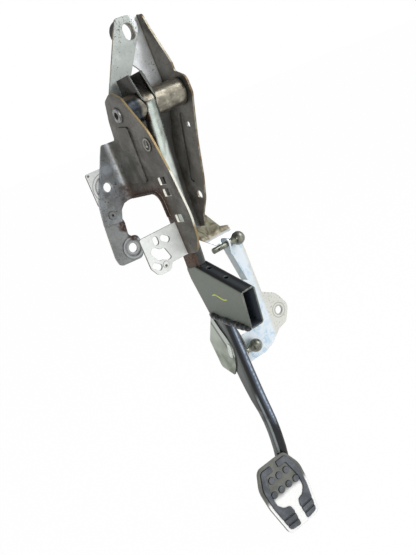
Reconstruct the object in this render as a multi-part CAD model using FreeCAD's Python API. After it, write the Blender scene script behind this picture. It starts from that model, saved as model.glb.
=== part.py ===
import FreeCAD, Part
import os
from math import acos, cos, hypot, pi, radians, sin, tan
from FreeCAD import Rotation, Vector

# Brake pedal in its sheet steel pedal box, as hung under a dashboard.
# Millimetres. X runs to the right, Y forward to the bulkhead, Z up.
# Everything is laid out from the pivot axis: X is measured from the outer
# face of the left side plate, Y and Z from the axis of the pivot bolt.
# The finished pieces are moved so that the origin is the middle of the two
# left bulkhead bolts, on the face that meets the bulkhead.

# Pedal box
plate_t = 2.0
box_inner_width = 65.4
fold_r = 7.0
strip_y = 40.0
flange_top_z = -18.5
arch_lip = 2.5
arch_corner_r = 18.0
arch_rear_y = -17.0
arch_top_z = -72.5
leg_front_y = -22.0
leg_bottom_z = -131.0
bead_h = 1.2
plate_window_length = 11.5
plate_window_height = 7.0
plate_hole_d = 8.4

# Bulkhead bolts on the left
bolt_hole_d = 9.0
bolt_x = -18.0
bolt_a_z = -55.0
bolt_b_z = -116.0
flange_rivet_d = 7.5
flange_rivet_bore = 3.6
flange_lap_z = -87.0
rivet_at = (-25.0, -80.0)
boss_ring_d = 21.0
boss_ring_h = 1.2
plate_boss_d = 22.0
plate_boss_depth = 0.8

# Right side plate and front skin
skin_y = 22.0
skin_width = 13.4
top_z = 76.3

# Upper mounting ear
brace_t = 2.0
ear_inset = 14.9
ear_z = 64.5
ear_above = 14.0
ear_slot_w = 11.5
ear_slot_h = 15.5
ear_sleeve_bore = 19.0
ear_sleeve_wall = 1.0
ear_bush_wall = 1.8
ear_bush_length = 9.5
ear_bush_rise = 2.0

# Slotted bracket on the left leg
slotted_t = 2.0
slotted_reach = 38.0
slotted_top_z = -101.0
slotted_bottom_z = -131.5
slotted_return = 18.0
slotted_tilt = -36.0

# Pivot
hub_d = 25.0
hub_bore = 20.0
bush_wall = 2.0
bush_flange_d = 24.0
bush_flange_t = 1.2
bush_length = 14.0
side_play = 0.2
running_fit = 0.05
sleeve_d = 16.0
pin_shank_d = 10.0
pin_shank_bore = 6.4
pin_flare_d = 14.0
pin_flare_h = 1.8

# Pedal arm
arm_x = 28.0
arm_wall = 2.4
arm_corner_r = 5.0
arm_top_half = 8.0
arm_low_half = 6.2
arm_joint_z = -163.0
tube_wall = 1.8
tube_corner_r = 4.2
tube_step = 11.0
web_top_z = 2.0
pushrod_d = 8.0
pushrod_at = (17.5, -86.0)

# Extension box welded over the arm
case_t = 1.5
case_corner_r = 3.0
case_rear_y = -48.0
case_hole_d = 5.2
case_hole_y = (3.0, -20.5)

# Forward brace on the lower arm
fin_t = 1.5

# Side bracket on the right
side_t = 2.0
side_upper_y = 58.0
side_panel_y = 50.0
side_fold_z = -144.0
side_panel_top_z = -162.0
side_hole_d = 9.0
side_hole_out = 46.6
side_hole_z = -252.0
side_flange_depth = 10.0
ball_d = 14.4
ball_gap = 0.8
pin_d = 6.0
pin_collar_d = 9.5
pin_collar_t = 2.0
pin_cross_d = 2.4

# Pedal pad
pad_x = 5.5
pad_y = -14.0
pad_drop = 229.0
pad_tilt = 16.0
pad_plate_t = 2.5
pad_rubber_t = 4.5
pad_cover_t = 1.0
pad_relief = 1.0
pad_dot_d = 6.6
pad_dot_pitch = 9.7

# Positions worked out from the sizes above
left_inner_x = plate_t
right_inner_x = plate_t + box_inner_width
right_outer_x = right_inner_x + plate_t
strip_front_y = strip_y + plate_t
bulkhead_y = strip_front_y + plate_t
origin = Vector(bolt_x, bulkhead_y, (bolt_a_z + bolt_b_z) / 2)
ear_x = right_inner_x - ear_inset
pad_z = arm_joint_z - pad_drop
pin_y = side_panel_y - ball_d / 2 - ball_gap


# Outlines and prisms

def in_yz(x):
    return lambda a, b: Vector(x, a, b)


def in_xz(y):
    return lambda a, b: Vector(a, y, b)


def in_xy(z):
    return lambda a, b: Vector(a, b, z)


def corner_arc(before, corner, after):
    """Start, middle and end of the arc that rounds one corner, or None if it stays sharp."""
    px, py, radius = corner
    ux, uy = before[0] - px, before[1] - py
    vx, vy = after[0] - px, after[1] - py
    ulen, vlen = hypot(ux, uy), hypot(vx, vy)
    ux, uy, vx, vy = ux / ulen, uy / ulen, vx / vlen, vy / vlen
    half = acos(max(-1.0, min(1.0, ux * vx + uy * vy))) / 2
    if radius <= 0 or half > radians(89.5):
        return None
    reach = min(radius / tan(half), 0.48 * ulen, 0.48 * vlen)
    radius = reach * tan(half)
    bx, by = ux + vx, uy + vy
    blen = hypot(bx, by)
    depth = radius / sin(half) - radius
    start = (px + ux * reach, py + uy * reach)
    middle = (px + bx / blen * depth, py + by / blen * depth)
    end = (px + vx * reach, py + vy * reach)
    return start, middle, end


def rounded_wire(corners, place):
    """Closed wire through corners given as (a, b, radius)."""
    arcs = []
    for i, corner in enumerate(corners):
        after = corners[(i + 1) % len(corners)]
        arcs.append(corner_arc(corners[i - 1], corner, after))
    edges = []
    for i, corner in enumerate(corners):
        arc = arcs[i]
        if arc:
            edges.append(Part.Arc(*[place(*p) for p in arc]).toShape())
        here = arc[2] if arc else corner[:2]
        following = (i + 1) % len(corners)
        there = arcs[following][0] if arcs[following] else corners[following][:2]
        if hypot(there[0] - here[0], there[1] - here[1]) > 1e-6:
            edges.append(Part.LineSegment(place(*here), place(*there)).toShape())
    return Part.Wire(edges)


def prism_x(corners, x0, x1):
    return Part.Face(rounded_wire(corners, in_yz(x0))).extrude(Vector(x1 - x0, 0, 0))


def prism_y(corners, y0, y1):
    return Part.Face(rounded_wire(corners, in_xz(y0))).extrude(Vector(0, y1 - y0, 0))


def prism_z(corners, z0, z1):
    return Part.Face(rounded_wire(corners, in_xy(z0))).extrude(Vector(0, 0, z1 - z0))


def rod_x(diameter, x0, x1, y=0.0, z=0.0):
    return Part.makeCylinder(diameter / 2, x1 - x0, Vector(x0, y, z), Vector(1, 0, 0))


def rod_y(diameter, y0, y1, x, z):
    return Part.makeCylinder(diameter / 2, y1 - y0, Vector(x, y0, z), Vector(0, 1, 0))


def slot_corners(a, b, width, height):
    radius = min(width, height) / 2 - 0.01
    w, h = width / 2, height / 2
    return [(a - w, b - h, radius), (a + w, b - h, radius), (a + w, b + h, radius), (a - w, b + h, radius)]


def offset_path(path, thickness):
    """Open path of (a, b, radius) moved to its left by the sheet thickness."""
    moved = []
    last = len(path) - 1
    for i, (a, b, radius) in enumerate(path):
        before = path[max(i - 1, 0)]
        after = path[min(i + 1, last)]
        d1 = (a - before[0], b - before[1]) if i > 0 else (after[0] - a, after[1] - b)
        d2 = (after[0] - a, after[1] - b) if i < last else d1
        l1, l2 = hypot(*d1), hypot(*d2)
        n1 = (-d1[1] / l1, d1[0] / l1)
        n2 = (-d2[1] / l2, d2[0] / l2)
        scale = thickness / (1 + n1[0] * n2[0] + n1[1] * n2[1])
        turn = d1[0] * d2[1] - d1[1] * d2[0]
        grown = radius - thickness if turn > 0 else radius + thickness
        moved.append((a + (n1[0] + n2[0]) * scale, b + (n1[1] + n2[1]) * scale, max(grown, 0.0) if radius else 0.0))
    return moved


def sheet_outline(path, thickness):
    """Closed outline of a bent sheet whose one face follows the path."""
    return path + offset_path(path, thickness)[::-1]


def turned(corners, angle, a, b):
    """Corners turned about their own origin, then moved."""
    c, s = cos(radians(angle)), sin(radians(angle))
    return [(a + p * c - q * s, b + p * s + q * c, radius) for p, q, radius in corners]


# Pedal box

def left_side_outline():
    return [
        (14.0, 15.0, 5.0),
        (0.0, 20.0, 12.0),
        (-15.0, 12.5, 8.0),
        (-38.5, -22.0, 30.0),
        (-48.0, -60.0, 40.0),
        (-52.5, -96.0, 40.0),
        (-49.0, -117.0, 15.0),
        (-38.0, leg_bottom_z + 0.5, 8.0),
        (leg_front_y, leg_bottom_z - 0.5, 2.0),
        (leg_front_y, slotted_top_z + 1.5, 1.0),
        (arch_rear_y + 3.0, slotted_top_z + 1.5, 2.0),
        (arch_rear_y, slotted_top_z + 12.0, 6.0),
        (arch_rear_y, arch_top_z, arch_corner_r),
        (strip_front_y + 1, arch_top_z - 1, 0.0),
        (strip_front_y + 1, flange_top_z, 0.0),
        (26.0, flange_top_z, 3.0),
        (22.0, -2.0, 12.0),
    ]


def strip_outline():
    """Upper half of the bulkhead flange, seen from the rear."""
    near = -fold_r / 2
    return [
        (near, flange_top_z, 0.0),
        (-7.5, flange_top_z + 0.5, 3.5),
        (-12.5, -27.0, 10.0),
        (-21.5, -44.5, 15.0),
        (-33.5, -68.0, 20.0),
        (-36.7, flange_lap_z, 1.0),
        (-18.0, flange_lap_z - 2, 1.0),
        (-14.0, -79.0, 4.0),
        (-9.0, arch_top_z - 2, 4.0),
        (near, arch_top_z - 1, 0.0),
    ]


def arch_path():
    return [
        (arch_rear_y, slotted_top_z + 6, 0.0),
        (arch_rear_y, arch_top_z, arch_corner_r),
        (strip_y - fold_r, arch_top_z - 0.8, 0.0),
    ]


def left_side_plate():
    """Side sheet, folded through a wide bend into the upper half of the bulkhead flange."""
    section = [
        (0.0, -70.0, 0.0),
        (0.0, strip_y, fold_r),
        (-60.0, strip_y, 0.0),
        (-60.0, strip_front_y, 0.0),
        (plate_t, strip_front_y, fold_r + plate_t),
        (plate_t, -70.0, 0.0),
    ]
    sheet = prism_z(section, -140.0, 30.0)
    side = prism_x(left_side_outline(), -fold_r / 2, plate_t + 1)
    strip = prism_y(strip_outline(), strip_y - fold_r / 2, strip_front_y + 1)
    plate = sheet.common(side.fuse(strip))
    lip = prism_x(sheet_outline(arch_path(), plate_t), -arch_lip, plate_t)
    plate = plate.fuse(lip)
    bead = [(-8.5, -12.0, 3.0), (9.0, -9.0, 3.0), (30.0, -50.0, 4.0), (26.0, -60.0, 4.0), (-5.0, -62.0, 4.0)]
    plate = plate.fuse(prism_x(bead, -bead_h, 0.0))
    plate = plate.cut(prism_x(bead, plate_t - bead_h, plate_t))
    plate = plate.cut(rod_x(pin_shank_d + 2 * running_fit, -bead_h, plate_t))
    plate = plate.fuse(rod_x(plate_hole_d + 4.4, -0.6, 0.0, -29.0, -31.0))
    plate = plate.cut(rod_x(plate_hole_d, -2.0, plate_t, -29.0, -31.0))
    for y, z in ((-29.3, -63.5), (-29.8, -74.0), (-32.8, -98.0)):
        window = slot_box(y, z, plate_window_length, plate_window_height)
        plate = plate.cut(prism_x(window, -1.0, plate_t + 1))
    for x, z, d in ((bolt_x, bolt_a_z, bolt_hole_d), (*rivet_at, flange_rivet_bore + 0.1)):
        plate = plate.cut(rod_y(d, strip_y - 2, strip_front_y + 1, x, z))
    return plate.removeSplitter()


def slot_box(a, b, width, height):
    w, h = width / 2, height / 2
    return [(a - w, b - h, 1.0), (a + w, b - h, 1.0), (a + w, b + h, 1.0), (a - w, b + h, 1.0)]


def lower_flange():
    """Lower half of the bulkhead flange, riveted behind the upper half."""
    outline = [
        (-33.0, -70.0, 3.0),
        (-36.0, -90.0, 10.0),
        (-38.5, -118.0, 8.0),
        (-37.0, -127.0, 5.0),
        (-12.0, -128.5, 6.0),
        (-7.0, -117.0, 8.0),
        (-9.0, -106.0, 5.0),
        (-17.5, -105.0, 4.0),
        (-15.5, -91.0, 2.0),
        (-19.0, -72.0, 3.0),
    ]
    plate = prism_y(outline, strip_front_y, bulkhead_y)
    ring = rod_y(boss_ring_d, strip_front_y - boss_ring_h, strip_front_y, bolt_x, bolt_b_z)
    plate = plate.fuse(ring)
    dish = rod_y(boss_ring_d - 5, strip_front_y - boss_ring_h - 1, strip_front_y, bolt_x, bolt_b_z)
    plate = plate.cut(dish)
    plate = plate.cut(rod_y(bolt_hole_d, strip_y, bulkhead_y + 1, bolt_x, bolt_b_z))
    plate = plate.cut(rod_y(flange_rivet_bore + 0.1, strip_y, bulkhead_y + 1, *rivet_at))
    return plate.removeSplitter()


def flange_rivet():
    """Tubular rivet through both halves of the flange."""
    x, z = rivet_at
    head_t = 1.2
    body = rod_y(flange_rivet_bore, strip_y - head_t, bulkhead_y, x, z)
    body = body.fuse(rod_y(flange_rivet_d, strip_y - head_t, strip_y, x, z))
    return body.cut(rod_y(flange_rivet_bore - 1.4, strip_y - head_t - 1, strip_y + 1, x, z))


def bulkhead_plate():
    """Stiffening plate behind the upper bolt, with a pressed boss round the hole."""
    outline = [(-33.0, -37.0, 2.0), (6.0, -37.0, 4.0), (6.0, -66.0, 4.0), (-16.0, -69.5, 0.0), (-33.0, -69.5, 3.0)]
    plate = prism_y(outline, strip_front_y, bulkhead_y)
    dish = rod_y(plate_boss_d, strip_front_y - 1, strip_front_y + plate_boss_depth, bolt_x, bolt_a_z)
    plate = plate.cut(dish)
    return plate.cut(rod_y(bolt_hole_d, strip_y, bulkhead_y + 1, bolt_x, bolt_a_z))


def skin_path():
    """Rear face of the front skin, from the top of the box to its lower tip."""
    return [
        (skin_y, top_z, 0.0),
        (skin_y, 14.0, 20.0),
        (31.0, -15.0, 30.0),
        (49.5, -46.0, 30.0),
        (side_upper_y - 1, -95.0, 60.0),
        (side_upper_y, leg_bottom_z, 0.0),
    ]


def right_side_outline():
    front = offset_path(skin_path(), plate_t)
    rear = [
        (50.0, leg_bottom_z, 2.0),
        (44.0, -118.5, 10.0),
        (29.5, -103.0, 20.0),
        (17.8, -81.0, 40.0),
        (3.8, -47.0, 60.0),
        (-9.5, -20.0, 40.0),
        (-17.5, -5.0, 8.0),
        (-17.0, 10.0, 8.0),
        (-3.0, 17.5, 3.0),
        (-3.0, 26.0, 6.0),
        (9.5, 58.0, 30.0),
        (14.8, top_z - 1.5, 4.0),
    ]
    return front + rear


def skin_outline():
    """Front skin and upper web, seen from the rear."""
    inner = right_outer_x - skin_width - plate_t
    return [
        (46.0, top_z + 1, 0.0),
        (right_outer_x, top_z + 1, 0.0),
        (right_outer_x, leg_bottom_z - 5, 0.0),
        (inner, leg_bottom_z - 5, 0.0),
        (inner, 12.0, 20.0),
        (50.5, 30.0, 20.0),
        (43.0, 38.5, 3.0),
        (33.0, 41.0, 2.0),
    ]


def right_side_plate():
    wall = prism_x(right_side_outline(), right_inner_x, right_outer_x)
    skin = prism_x(sheet_outline(skin_path(), plate_t), 0.0, right_outer_x)
    skin = skin.common(prism_y(skin_outline(), 0.0, 90.0))
    plate = wall.fuse(skin)
    plate = plate.cut(ear_slot())
    plate = plate.cut(rod_x(pin_shank_d + 2 * running_fit, right_inner_x - 1, right_outer_x + 1))
    bead = [(8.0, -18.0, 3.0), (16.0, -18.0, 3.0), (42.0, -82.0, 3.0), (36.0, -86.0, 3.0)]
    plate = plate.fuse(prism_x(bead, right_outer_x, right_outer_x + bead_h))
    plate = plate.cut(prism_x(bead, right_inner_x, right_inner_x + bead_h))
    for y, z, d in ((8.0, -30.5, 6.0), (36.0, -98.0, 8.5)):
        plate = plate.cut(rod_x(d, right_inner_x - 1, right_outer_x + 3, y, z))
    return plate.removeSplitter()


def upper_brace():
    """Zinc-plated strap with the upper mounting ear, laid across the web."""
    ear_top = ear_z + ear_above
    outline = [
        (ear_x - 8.7, ear_top, 3.0),
        (ear_x + 8.7, ear_top, 10.0),
        (ear_x + 11.6, ear_z + 1.0, 10.0),
        (38.0, 29.0, 12.0),
        (14.0, -3.0, 6.0),
        (left_inner_x, -14.0, 0.0),
        (left_inner_x, 6.0, 0.0),
        (10.6, 20.7, 30.0),
    ]
    plate = prism_y(outline, skin_y - brace_t, skin_y)
    return plate.cut(ear_slot())


def ear_slot():
    return prism_y(slot_corners(ear_x, ear_z, ear_slot_w, ear_slot_h), 0.0, 60.0)


def ear_tube(outer, bore):
    back = skin_y + plate_t
    z = ear_z + ear_bush_rise
    body = rod_y(outer, back, back + ear_bush_length, ear_x, z)
    return body.cut(rod_y(bore, back - 1, back + ear_bush_length + 1, ear_x, z))


def ear_sleeve():
    """Steel sleeve behind the upper ear."""
    return ear_tube(ear_sleeve_bore + 2 * ear_sleeve_wall, ear_sleeve_bore)


def ear_bush():
    """Black rubber ring round the ear's sleeve."""
    inner = ear_sleeve_bore + 2 * ear_sleeve_wall
    return ear_tube(inner + 2 * ear_bush_wall, inner)


def slotted_bracket():
    """Galvanised angle on the left leg, with its slotted face to the rear."""
    left = -slotted_reach
    right = plate_t + slotted_t
    outline = [
        (left, slotted_top_z, 2.0),
        (right, slotted_top_z, 0.0),
        (right, slotted_bottom_z, 0.0),
        (-16.8, slotted_bottom_z, 2.0),
        (-21.0, slotted_bottom_z - 5.5, 4.0),
        (-33.0, slotted_bottom_z - 5.5, 6.0),
        (left, slotted_bottom_z + 3, 5.0),
    ]
    face = prism_y(outline, leg_front_y, leg_front_y + slotted_t)
    back = [
        (leg_front_y, slotted_top_z, 0.0),
        (leg_front_y - slotted_return, slotted_top_z - 4, 4.0),
        (leg_front_y - slotted_return, slotted_bottom_z + 8, 6.0),
        (leg_front_y, slotted_bottom_z, 0.0),
    ]
    bracket = face.fuse(prism_x(back, plate_t, right))
    cx, cz = -24.0, -120.0
    clover = [
        (cx - 8.8, cz + 6.2, 3.0),
        (cx - 3.6, cz + 7.6, 2.5),
        (cx + 1.2, cz + 3.6, 1.5),
        (cx + 5.4, cz + 3.4, 2.0),
        (cx + 8.9, cz - 7.6, 2.8),
        (cx + 4.5, cz - 7.9, 2.5),
        (cx + 0.5, cz - 5.8, 1.5),
        (cx - 4.2, cz - 4.9, 2.5),
        (cx - 8.4, cz + 1.5, 3.0),
    ]
    cuts = [clover]
    cuts.append(slot_corners(-24.0, -108.0, 5.5, 8.0))
    cuts.append(turned(slot_corners(0.0, 0.0, 9.6, 5.8), slotted_tilt, -15.0, -109.8))
    cuts.append(turned(slot_corners(0.0, 0.0, 10.0, 5.6), slotted_tilt, -32.0, -128.6))
    for cut in cuts:
        bracket = bracket.cut(prism_y(cut, leg_front_y - 1, leg_front_y + slotted_t + 1))
    dimple = rod_y(6.0, leg_front_y - 0.5, leg_front_y, -23.5, -130.6)
    return bracket.fuse(dimple).removeSplitter()


# Pivot

def hub_ends():
    gap = bush_flange_t + side_play
    return left_inner_x + gap, right_inner_x - gap


def hub_tube():
    x0, x1 = hub_ends()
    return rod_x(hub_d, x0, x1).cut(rod_x(hub_bore, x0 - 1, x1 + 1))


def pivot_bush(side):
    """Flanged plastic bush pressed into one end of the hub."""
    x0, x1 = hub_ends()
    bore = hub_bore - 2 * bush_wall
    if side == "left":
        body = rod_x(hub_bore, x0, x0 + bush_length).fuse(rod_x(bush_flange_d, x0 - bush_flange_t, x0))
    else:
        body = rod_x(hub_bore, x1 - bush_length, x1).fuse(rod_x(bush_flange_d, x1, x1 + bush_flange_t))
    return body.cut(rod_x(bore, x0 - 10, x1 + 10)).removeSplitter()


def pivot_sleeve():
    outer = hub_bore - 2 * bush_wall - 2 * running_fit
    body = rod_x(outer, left_inner_x, right_inner_x)
    return body.cut(rod_x(pin_shank_d + 2 * running_fit, left_inner_x - 1, right_inner_x + 1))


def pivot_pin():
    """Tubular pin, flared over both side plates."""
    x1 = right_outer_x
    body = rod_x(pin_shank_d, -pin_flare_h, x1 + pin_flare_h)
    for low, high, rim in ((-pin_flare_h, 0.0, -pin_flare_h), (x1, x1 + pin_flare_h, x1 + pin_flare_h)):
        flare = rod_x(pin_flare_d, low, high)
        edges = [e for e in flare.Edges if abs(e.BoundBox.XMin - rim) < 0.01 and abs(e.BoundBox.XMax - rim) < 0.01]
        body = body.fuse(flare.makeChamfer(pin_flare_h * 0.55, edges))
    return body.cut(rod_x(pin_shank_bore, -20.0, x1 + 20)).removeSplitter()


# Pedal arm

def channel_stations():
    """Height, half width, rear face and open front edge of the upper arm."""
    return [
        (28.0, arm_top_half, -20.0, 17.5),
        (0.0, arm_top_half, -13.5, 17.5),
        (-45.0, arm_top_half, -3.0, 21.5),
        (-100.0, arm_top_half - 0.6, 6.5, 27.0),
        (arm_joint_z + 13, arm_low_half, 11.5, 32.0),
        (arm_joint_z, arm_low_half, 12.5, 33.5),
    ]


def open_channel(stations, radius, grow):
    """Loft with rounded rear corners, its front run past the open side."""
    wires = []
    for z, half, rear, front in stations:
        w = half + grow
        r = max(radius + grow, 0.6)
        far = front if grow == 0.0 else front + 20
        corners = [
            (arm_x - w, far, 0.0),
            (arm_x - w, rear - grow, r),
            (arm_x + w, rear - grow, r),
            (arm_x + w, far, 0.0),
        ]
        wires.append(rounded_wire(corners, in_xy(z)))
    return Part.makeLoft(wires, True, True)


def pedal_arm():
    """Pressed channel, open to the front, that carries the hub in its upper end."""
    stations = channel_stations()
    outer = open_channel(stations, arm_corner_r, 0.0)
    inner = open_channel(stations, arm_corner_r, -arm_wall)
    arm = outer.cut(inner)
    slant = [(-40.0, web_top_z, 0.0), (-13.5, web_top_z, 0.0), (-3.5, 30.0, 0.0), (-40.0, 30.0, 0.0)]
    arm = arm.cut(prism_x(slant, 0.0, 60.0))
    mouth = arm_top_half - arm_wall
    opening = [(-40.0, web_top_z, 0.0), (40.0, web_top_z, 0.0), (40.0, 30.0, 0.0), (-40.0, 30.0, 0.0)]
    arm = arm.cut(prism_x(opening, arm_x - mouth, arm_x + mouth))
    arm = arm.cut(rod_x(hub_d, 0.0, 60.0))
    arm = arm.cut(rod_x(pushrod_d, 0.0, 60.0, *pushrod_at))
    arm = arm.cut(rod_x(1.8, 0.0, arm_x, 9.0, 15.0))
    return arm.removeSplitter()


def tube_stations():
    """Height, shift to the left, rear face and front face of the lower arm."""
    return [
        (arm_joint_z, 0.0, 10.0, 31.0),
        (arm_joint_z - 43, 0.0, 6.5, 27.5),
        (arm_joint_z - 61, 0.0, 5.8, 25.8),
        (arm_joint_z - 108, 0.0, 4.0, 23.8),
        (arm_joint_z - 142, 0.0, 2.0, 18.0),
        (arm_joint_z - 155, 0.0, 0.5, 13.2),
        (pad_z + 52, -0.8, pad_y + 12.3, pad_y + 23.9),
        (pad_z + 32, -2.0, pad_y + 12.5, pad_y + 24.5),
        (pad_z + 16, -4.0, pad_y + 13.0, pad_y + 25.5),
        (pad_z - 6, -9.0, pad_y + 6.0, pad_y + 19.0),
    ]


def slope_at(before, here, after, column):
    """Slope of one column at a station, level where the column turns back."""
    first = (here[column] - before[column]) / (here[0] - before[0])
    second = (after[column] - here[column]) / (after[0] - here[0])
    if first * second <= 0:
        return 0.0
    return 2 * first * second / (first + second)


def smoothed(stations, step):
    """Stations no further apart than the step, on a smooth curve through the given ones."""
    last = len(stations) - 1
    slopes = []
    for i, here in enumerate(stations):
        before, after = stations[max(i - 1, 0)], stations[min(i + 1, last)]
        row = [0.0]
        for column in (1, 2, 3):
            if i in (0, last):
                row.append((after[column] - before[column]) / (after[0] - before[0]))
            else:
                row.append(slope_at(before, here, after, column))
        slopes.append(row)
    dense = []
    for i in range(last):
        low, high = stations[i], stations[i + 1]
        gap = high[0] - low[0]
        count = max(1, round(abs(gap) / step))
        for k in range(count):
            t = k / count
            row = [low[0] + gap * t]
            for column in (1, 2, 3):
                value = low[column] * (1 + 2 * t) * (1 - t) ** 2 + high[column] * t * t * (3 - 2 * t)
                value += gap * t * (1 - t) * ((1 - t) * slopes[i][column] - t * slopes[i + 1][column])
                row.append(value)
            dense.append(tuple(row))
    dense.append(stations[last])
    return dense


def tube_wire(station, inset):
    z, shift, rear, front = station
    r = tube_corner_r - inset
    w = arm_low_half - inset
    corners = [
        (arm_x + shift - w, rear + inset, r),
        (arm_x + shift + w, rear + inset, r),
        (arm_x + shift + w, front - inset, r),
        (arm_x + shift - w, front - inset, r),
    ]
    return rounded_wire(corners, in_xy(z))


def lower_arm():
    """Flattened tube from the box down to the back of the pad."""
    stations = tube_stations()
    tube = Part.makeLoft([tube_wire(s, 0.0) for s in smoothed(stations, tube_step)], True, True)
    core = Part.makeLoft([tube_wire(s, tube_wall) for s in stations[:-3]], True, True)
    tube = tube.cut(core)
    return tube.cut(pad_prism(pad_outline(0.0), -20.0, pad_stack())).removeSplitter()


def case_outline():
    return [
        (33.5, arm_joint_z + 7, 1.0),
        (15.0, arm_joint_z + 9, 0.0),
        (case_rear_y, arm_joint_z - 16, 0.0),
        (case_rear_y + 7, arm_joint_z - 54, 0.0),
        (25.0, arm_joint_z - 43.5, 1.0),
        (33.5, arm_joint_z - 5, 4.0),
    ]


def extension_box():
    """Long sheet box lapped over both arms, open at its rear end."""
    half = arm_low_half + case_t
    x0, x1 = arm_x - half, arm_x + half
    outline = case_outline()
    outer = prism_x(outline, x0, x1)
    top_mid = ((outline[1][0] + outline[2][0]) / 2, (outline[1][1] + outline[2][1]) / 2)
    bottom_mid = ((outline[3][0] + outline[4][0]) / 2, (outline[3][1] + outline[4][1]) / 2)
    long_edges = []
    for edge in outer.Edges:
        middle = edge.BoundBox.Center
        for y, z in (top_mid, bottom_mid):
            if edge.BoundBox.XLength < 0.01 and hypot(middle.y - y, middle.z - z) < 1.0:
                long_edges.append(edge)
    outer = outer.makeFillet(case_corner_r, long_edges)
    top_y, top_z_end = outline[2][:2]
    low_y, low_z = outline[3][:2]
    hollow = [
        (60.0, outline[1][1] + 10, 0.0),
        (15.0, outline[1][1] - case_t, 0.0),
        (top_y - 10, top_z_end - case_t - 4, 0.0),
        (low_y - 10, low_z + case_t - 1.6, 0.0),
        (25.0, outline[4][1] + case_t, 0.0),
        (60.0, outline[4][1] + case_t, 0.0),
    ]
    box = outer.cut(prism_x(hollow, arm_x - arm_low_half, arm_x + arm_low_half))
    arm_way = [
        (10.9, arm_joint_z + 23, 0.0),
        (10.9, arm_joint_z - 3, 0.0),
        (6.0, arm_joint_z - 27, 0.0),
        (5.0, arm_joint_z - 67, 0.0),
        (60.0, arm_joint_z - 67, 0.0),
        (60.0, arm_joint_z + 23, 0.0),
    ]
    box = box.cut(prism_x(arm_way, arm_x - arm_low_half, arm_x + arm_low_half))
    for y in case_hole_y:
        box = box.cut(Part.makeCylinder(case_hole_d / 2, 30.0, Vector(arm_x, y, arm_joint_z - 17)))
    return box.removeSplitter()


def forward_brace():
    """Folded zinc-plated brace on the front of the lower arm."""
    top = arm_joint_z - 44.5
    outline = [
        (23.0, top, 1.0),
        (45.5, top - 30.5, 4.0),
        (42.5, top - 60.5, 4.0),
        (23.5, top - 67.5, 2.0),
        (15.0, top - 57.0, 5.0),
        (8.5, top - 44.0, 4.0),
        (6.8, top - 36.0, 4.0),
        (10.5, top - 24.0, 4.0),
        (17.0, top - 13.0, 5.0),
    ]
    x0 = arm_x - arm_low_half - fin_t
    x1 = arm_x + arm_low_half + fin_t
    brace = prism_x(outline, x0, x1)
    room = [
        (0.0, top + 8, 0.0),
        (20.0, top + 8, 0.0),
        (45.5 - fin_t * 1.3, top - 30.5, 4.0),
        (42.5 - fin_t * 1.3, top - 59.0, 4.0),
        (20.0, top - 82.0, 0.0),
        (0.0, top - 82.0, 0.0),
    ]
    return brace.cut(prism_x(room, x0 + fin_t, x1 - fin_t)).removeSplitter()


# Side bracket

def beside(points):
    """Points whose X is counted from the inner face of the right side plate."""
    return [(right_inner_x + x, z, r) for x, z, r in points]


def side_bracket():
    """Galvanised bracket that hangs from the right side plate."""
    path = [
        (side_upper_y + plate_t, -110.0, 0.0),
        (side_upper_y + plate_t, side_fold_z, 6.0),
        (side_panel_y, side_panel_top_z, 6.0),
        (side_panel_y, -300.0, 0.0),
    ]
    reach = 80.0
    sheet = prism_x(sheet_outline(path, side_t), right_inner_x - reach, right_inner_x + reach)
    outline = beside([
        (-7.4, -128.0, 2.0),
        (-0.4, -119.0, 2.0),
        (10.6, -122.0, 2.0),
        (22.6, -141.0, 3.0),
        (34.6, -144.5, 2.0),
        (34.6, -224.0, 3.0),
        (50.6, -233.0, 14.0),
        (60.6, -252.0, 10.0),
        (50.6, -268.0, 6.0),
        (38.6, -271.0, 3.0),
        (24.6, -281.0, 3.0),
        (12.6, -285.0, 6.0),
        (-19.4, -285.0, 3.0),
        (-19.4, -255.0, 4.0),
        (-5.4, -254.0, 4.0),
        (16.6, -256.0, 3.0),
        (17.6, -201.0, 6.0),
        (11.1, side_panel_top_z + 1, 2.0),
        (-7.4, side_fold_z + 1, 3.0),
    ])
    bracket = sheet.common(prism_y(outline, 0.0, 90.0))
    front = side_panel_y
    upper_z, lower_z = pin_heights()
    edge = beside([
        (11.1, side_panel_top_z - 2, 0.0),
        (11.1 + side_t, side_panel_top_z - 2, 0.0),
        (17.6 + side_t, -201.0, 0.0),
        (17.6, -201.0, 0.0),
    ])
    flange = prism_y(edge, front - side_flange_depth, front + 0.5)
    eye_x = upper_eye_x()
    eye_r = pin_d / 2 + 3.5
    eye = [
        (pin_y - eye_r, upper_z + eye_r, 5.0),
        (front + 0.5, upper_z + eye_r, 3.0),
        (front + 0.5, side_panel_top_z - 6, 0.0),
        (front - side_flange_depth, side_panel_top_z - 6, 0.0),
    ]
    foot_x = lower_eye_x()
    foot = [
        (pin_y - eye_r, lower_z + eye_r, 5.0),
        (front + 0.5, lower_z + eye_r, 0.0),
        (front + 0.5, lower_z - eye_r, 0.0),
        (pin_y - eye_r, lower_z - eye_r, 5.0),
    ]
    bracket = bracket.fuse([
        flange,
        prism_x(eye, eye_x, eye_x + side_t),
        prism_x(foot, foot_x, foot_x + side_t),
    ])
    hole_x = right_inner_x + side_hole_out
    bracket = bracket.cut(rod_y(side_hole_d, front - 1, front + side_t + 1, hole_x, side_hole_z))
    bracket = bracket.cut(rod_x(pin_d, eye_x - 3, eye_x + 6, pin_y, upper_z))
    bracket = bracket.cut(rod_x(pin_d, foot_x - 3, foot_x + 5, pin_y, lower_z))
    return bracket.removeSplitter()


def pin_heights():
    return -157.0, -268.5


def upper_eye_x():
    return right_inner_x + 11.1


def lower_eye_x():
    return right_inner_x - 19.4


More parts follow.
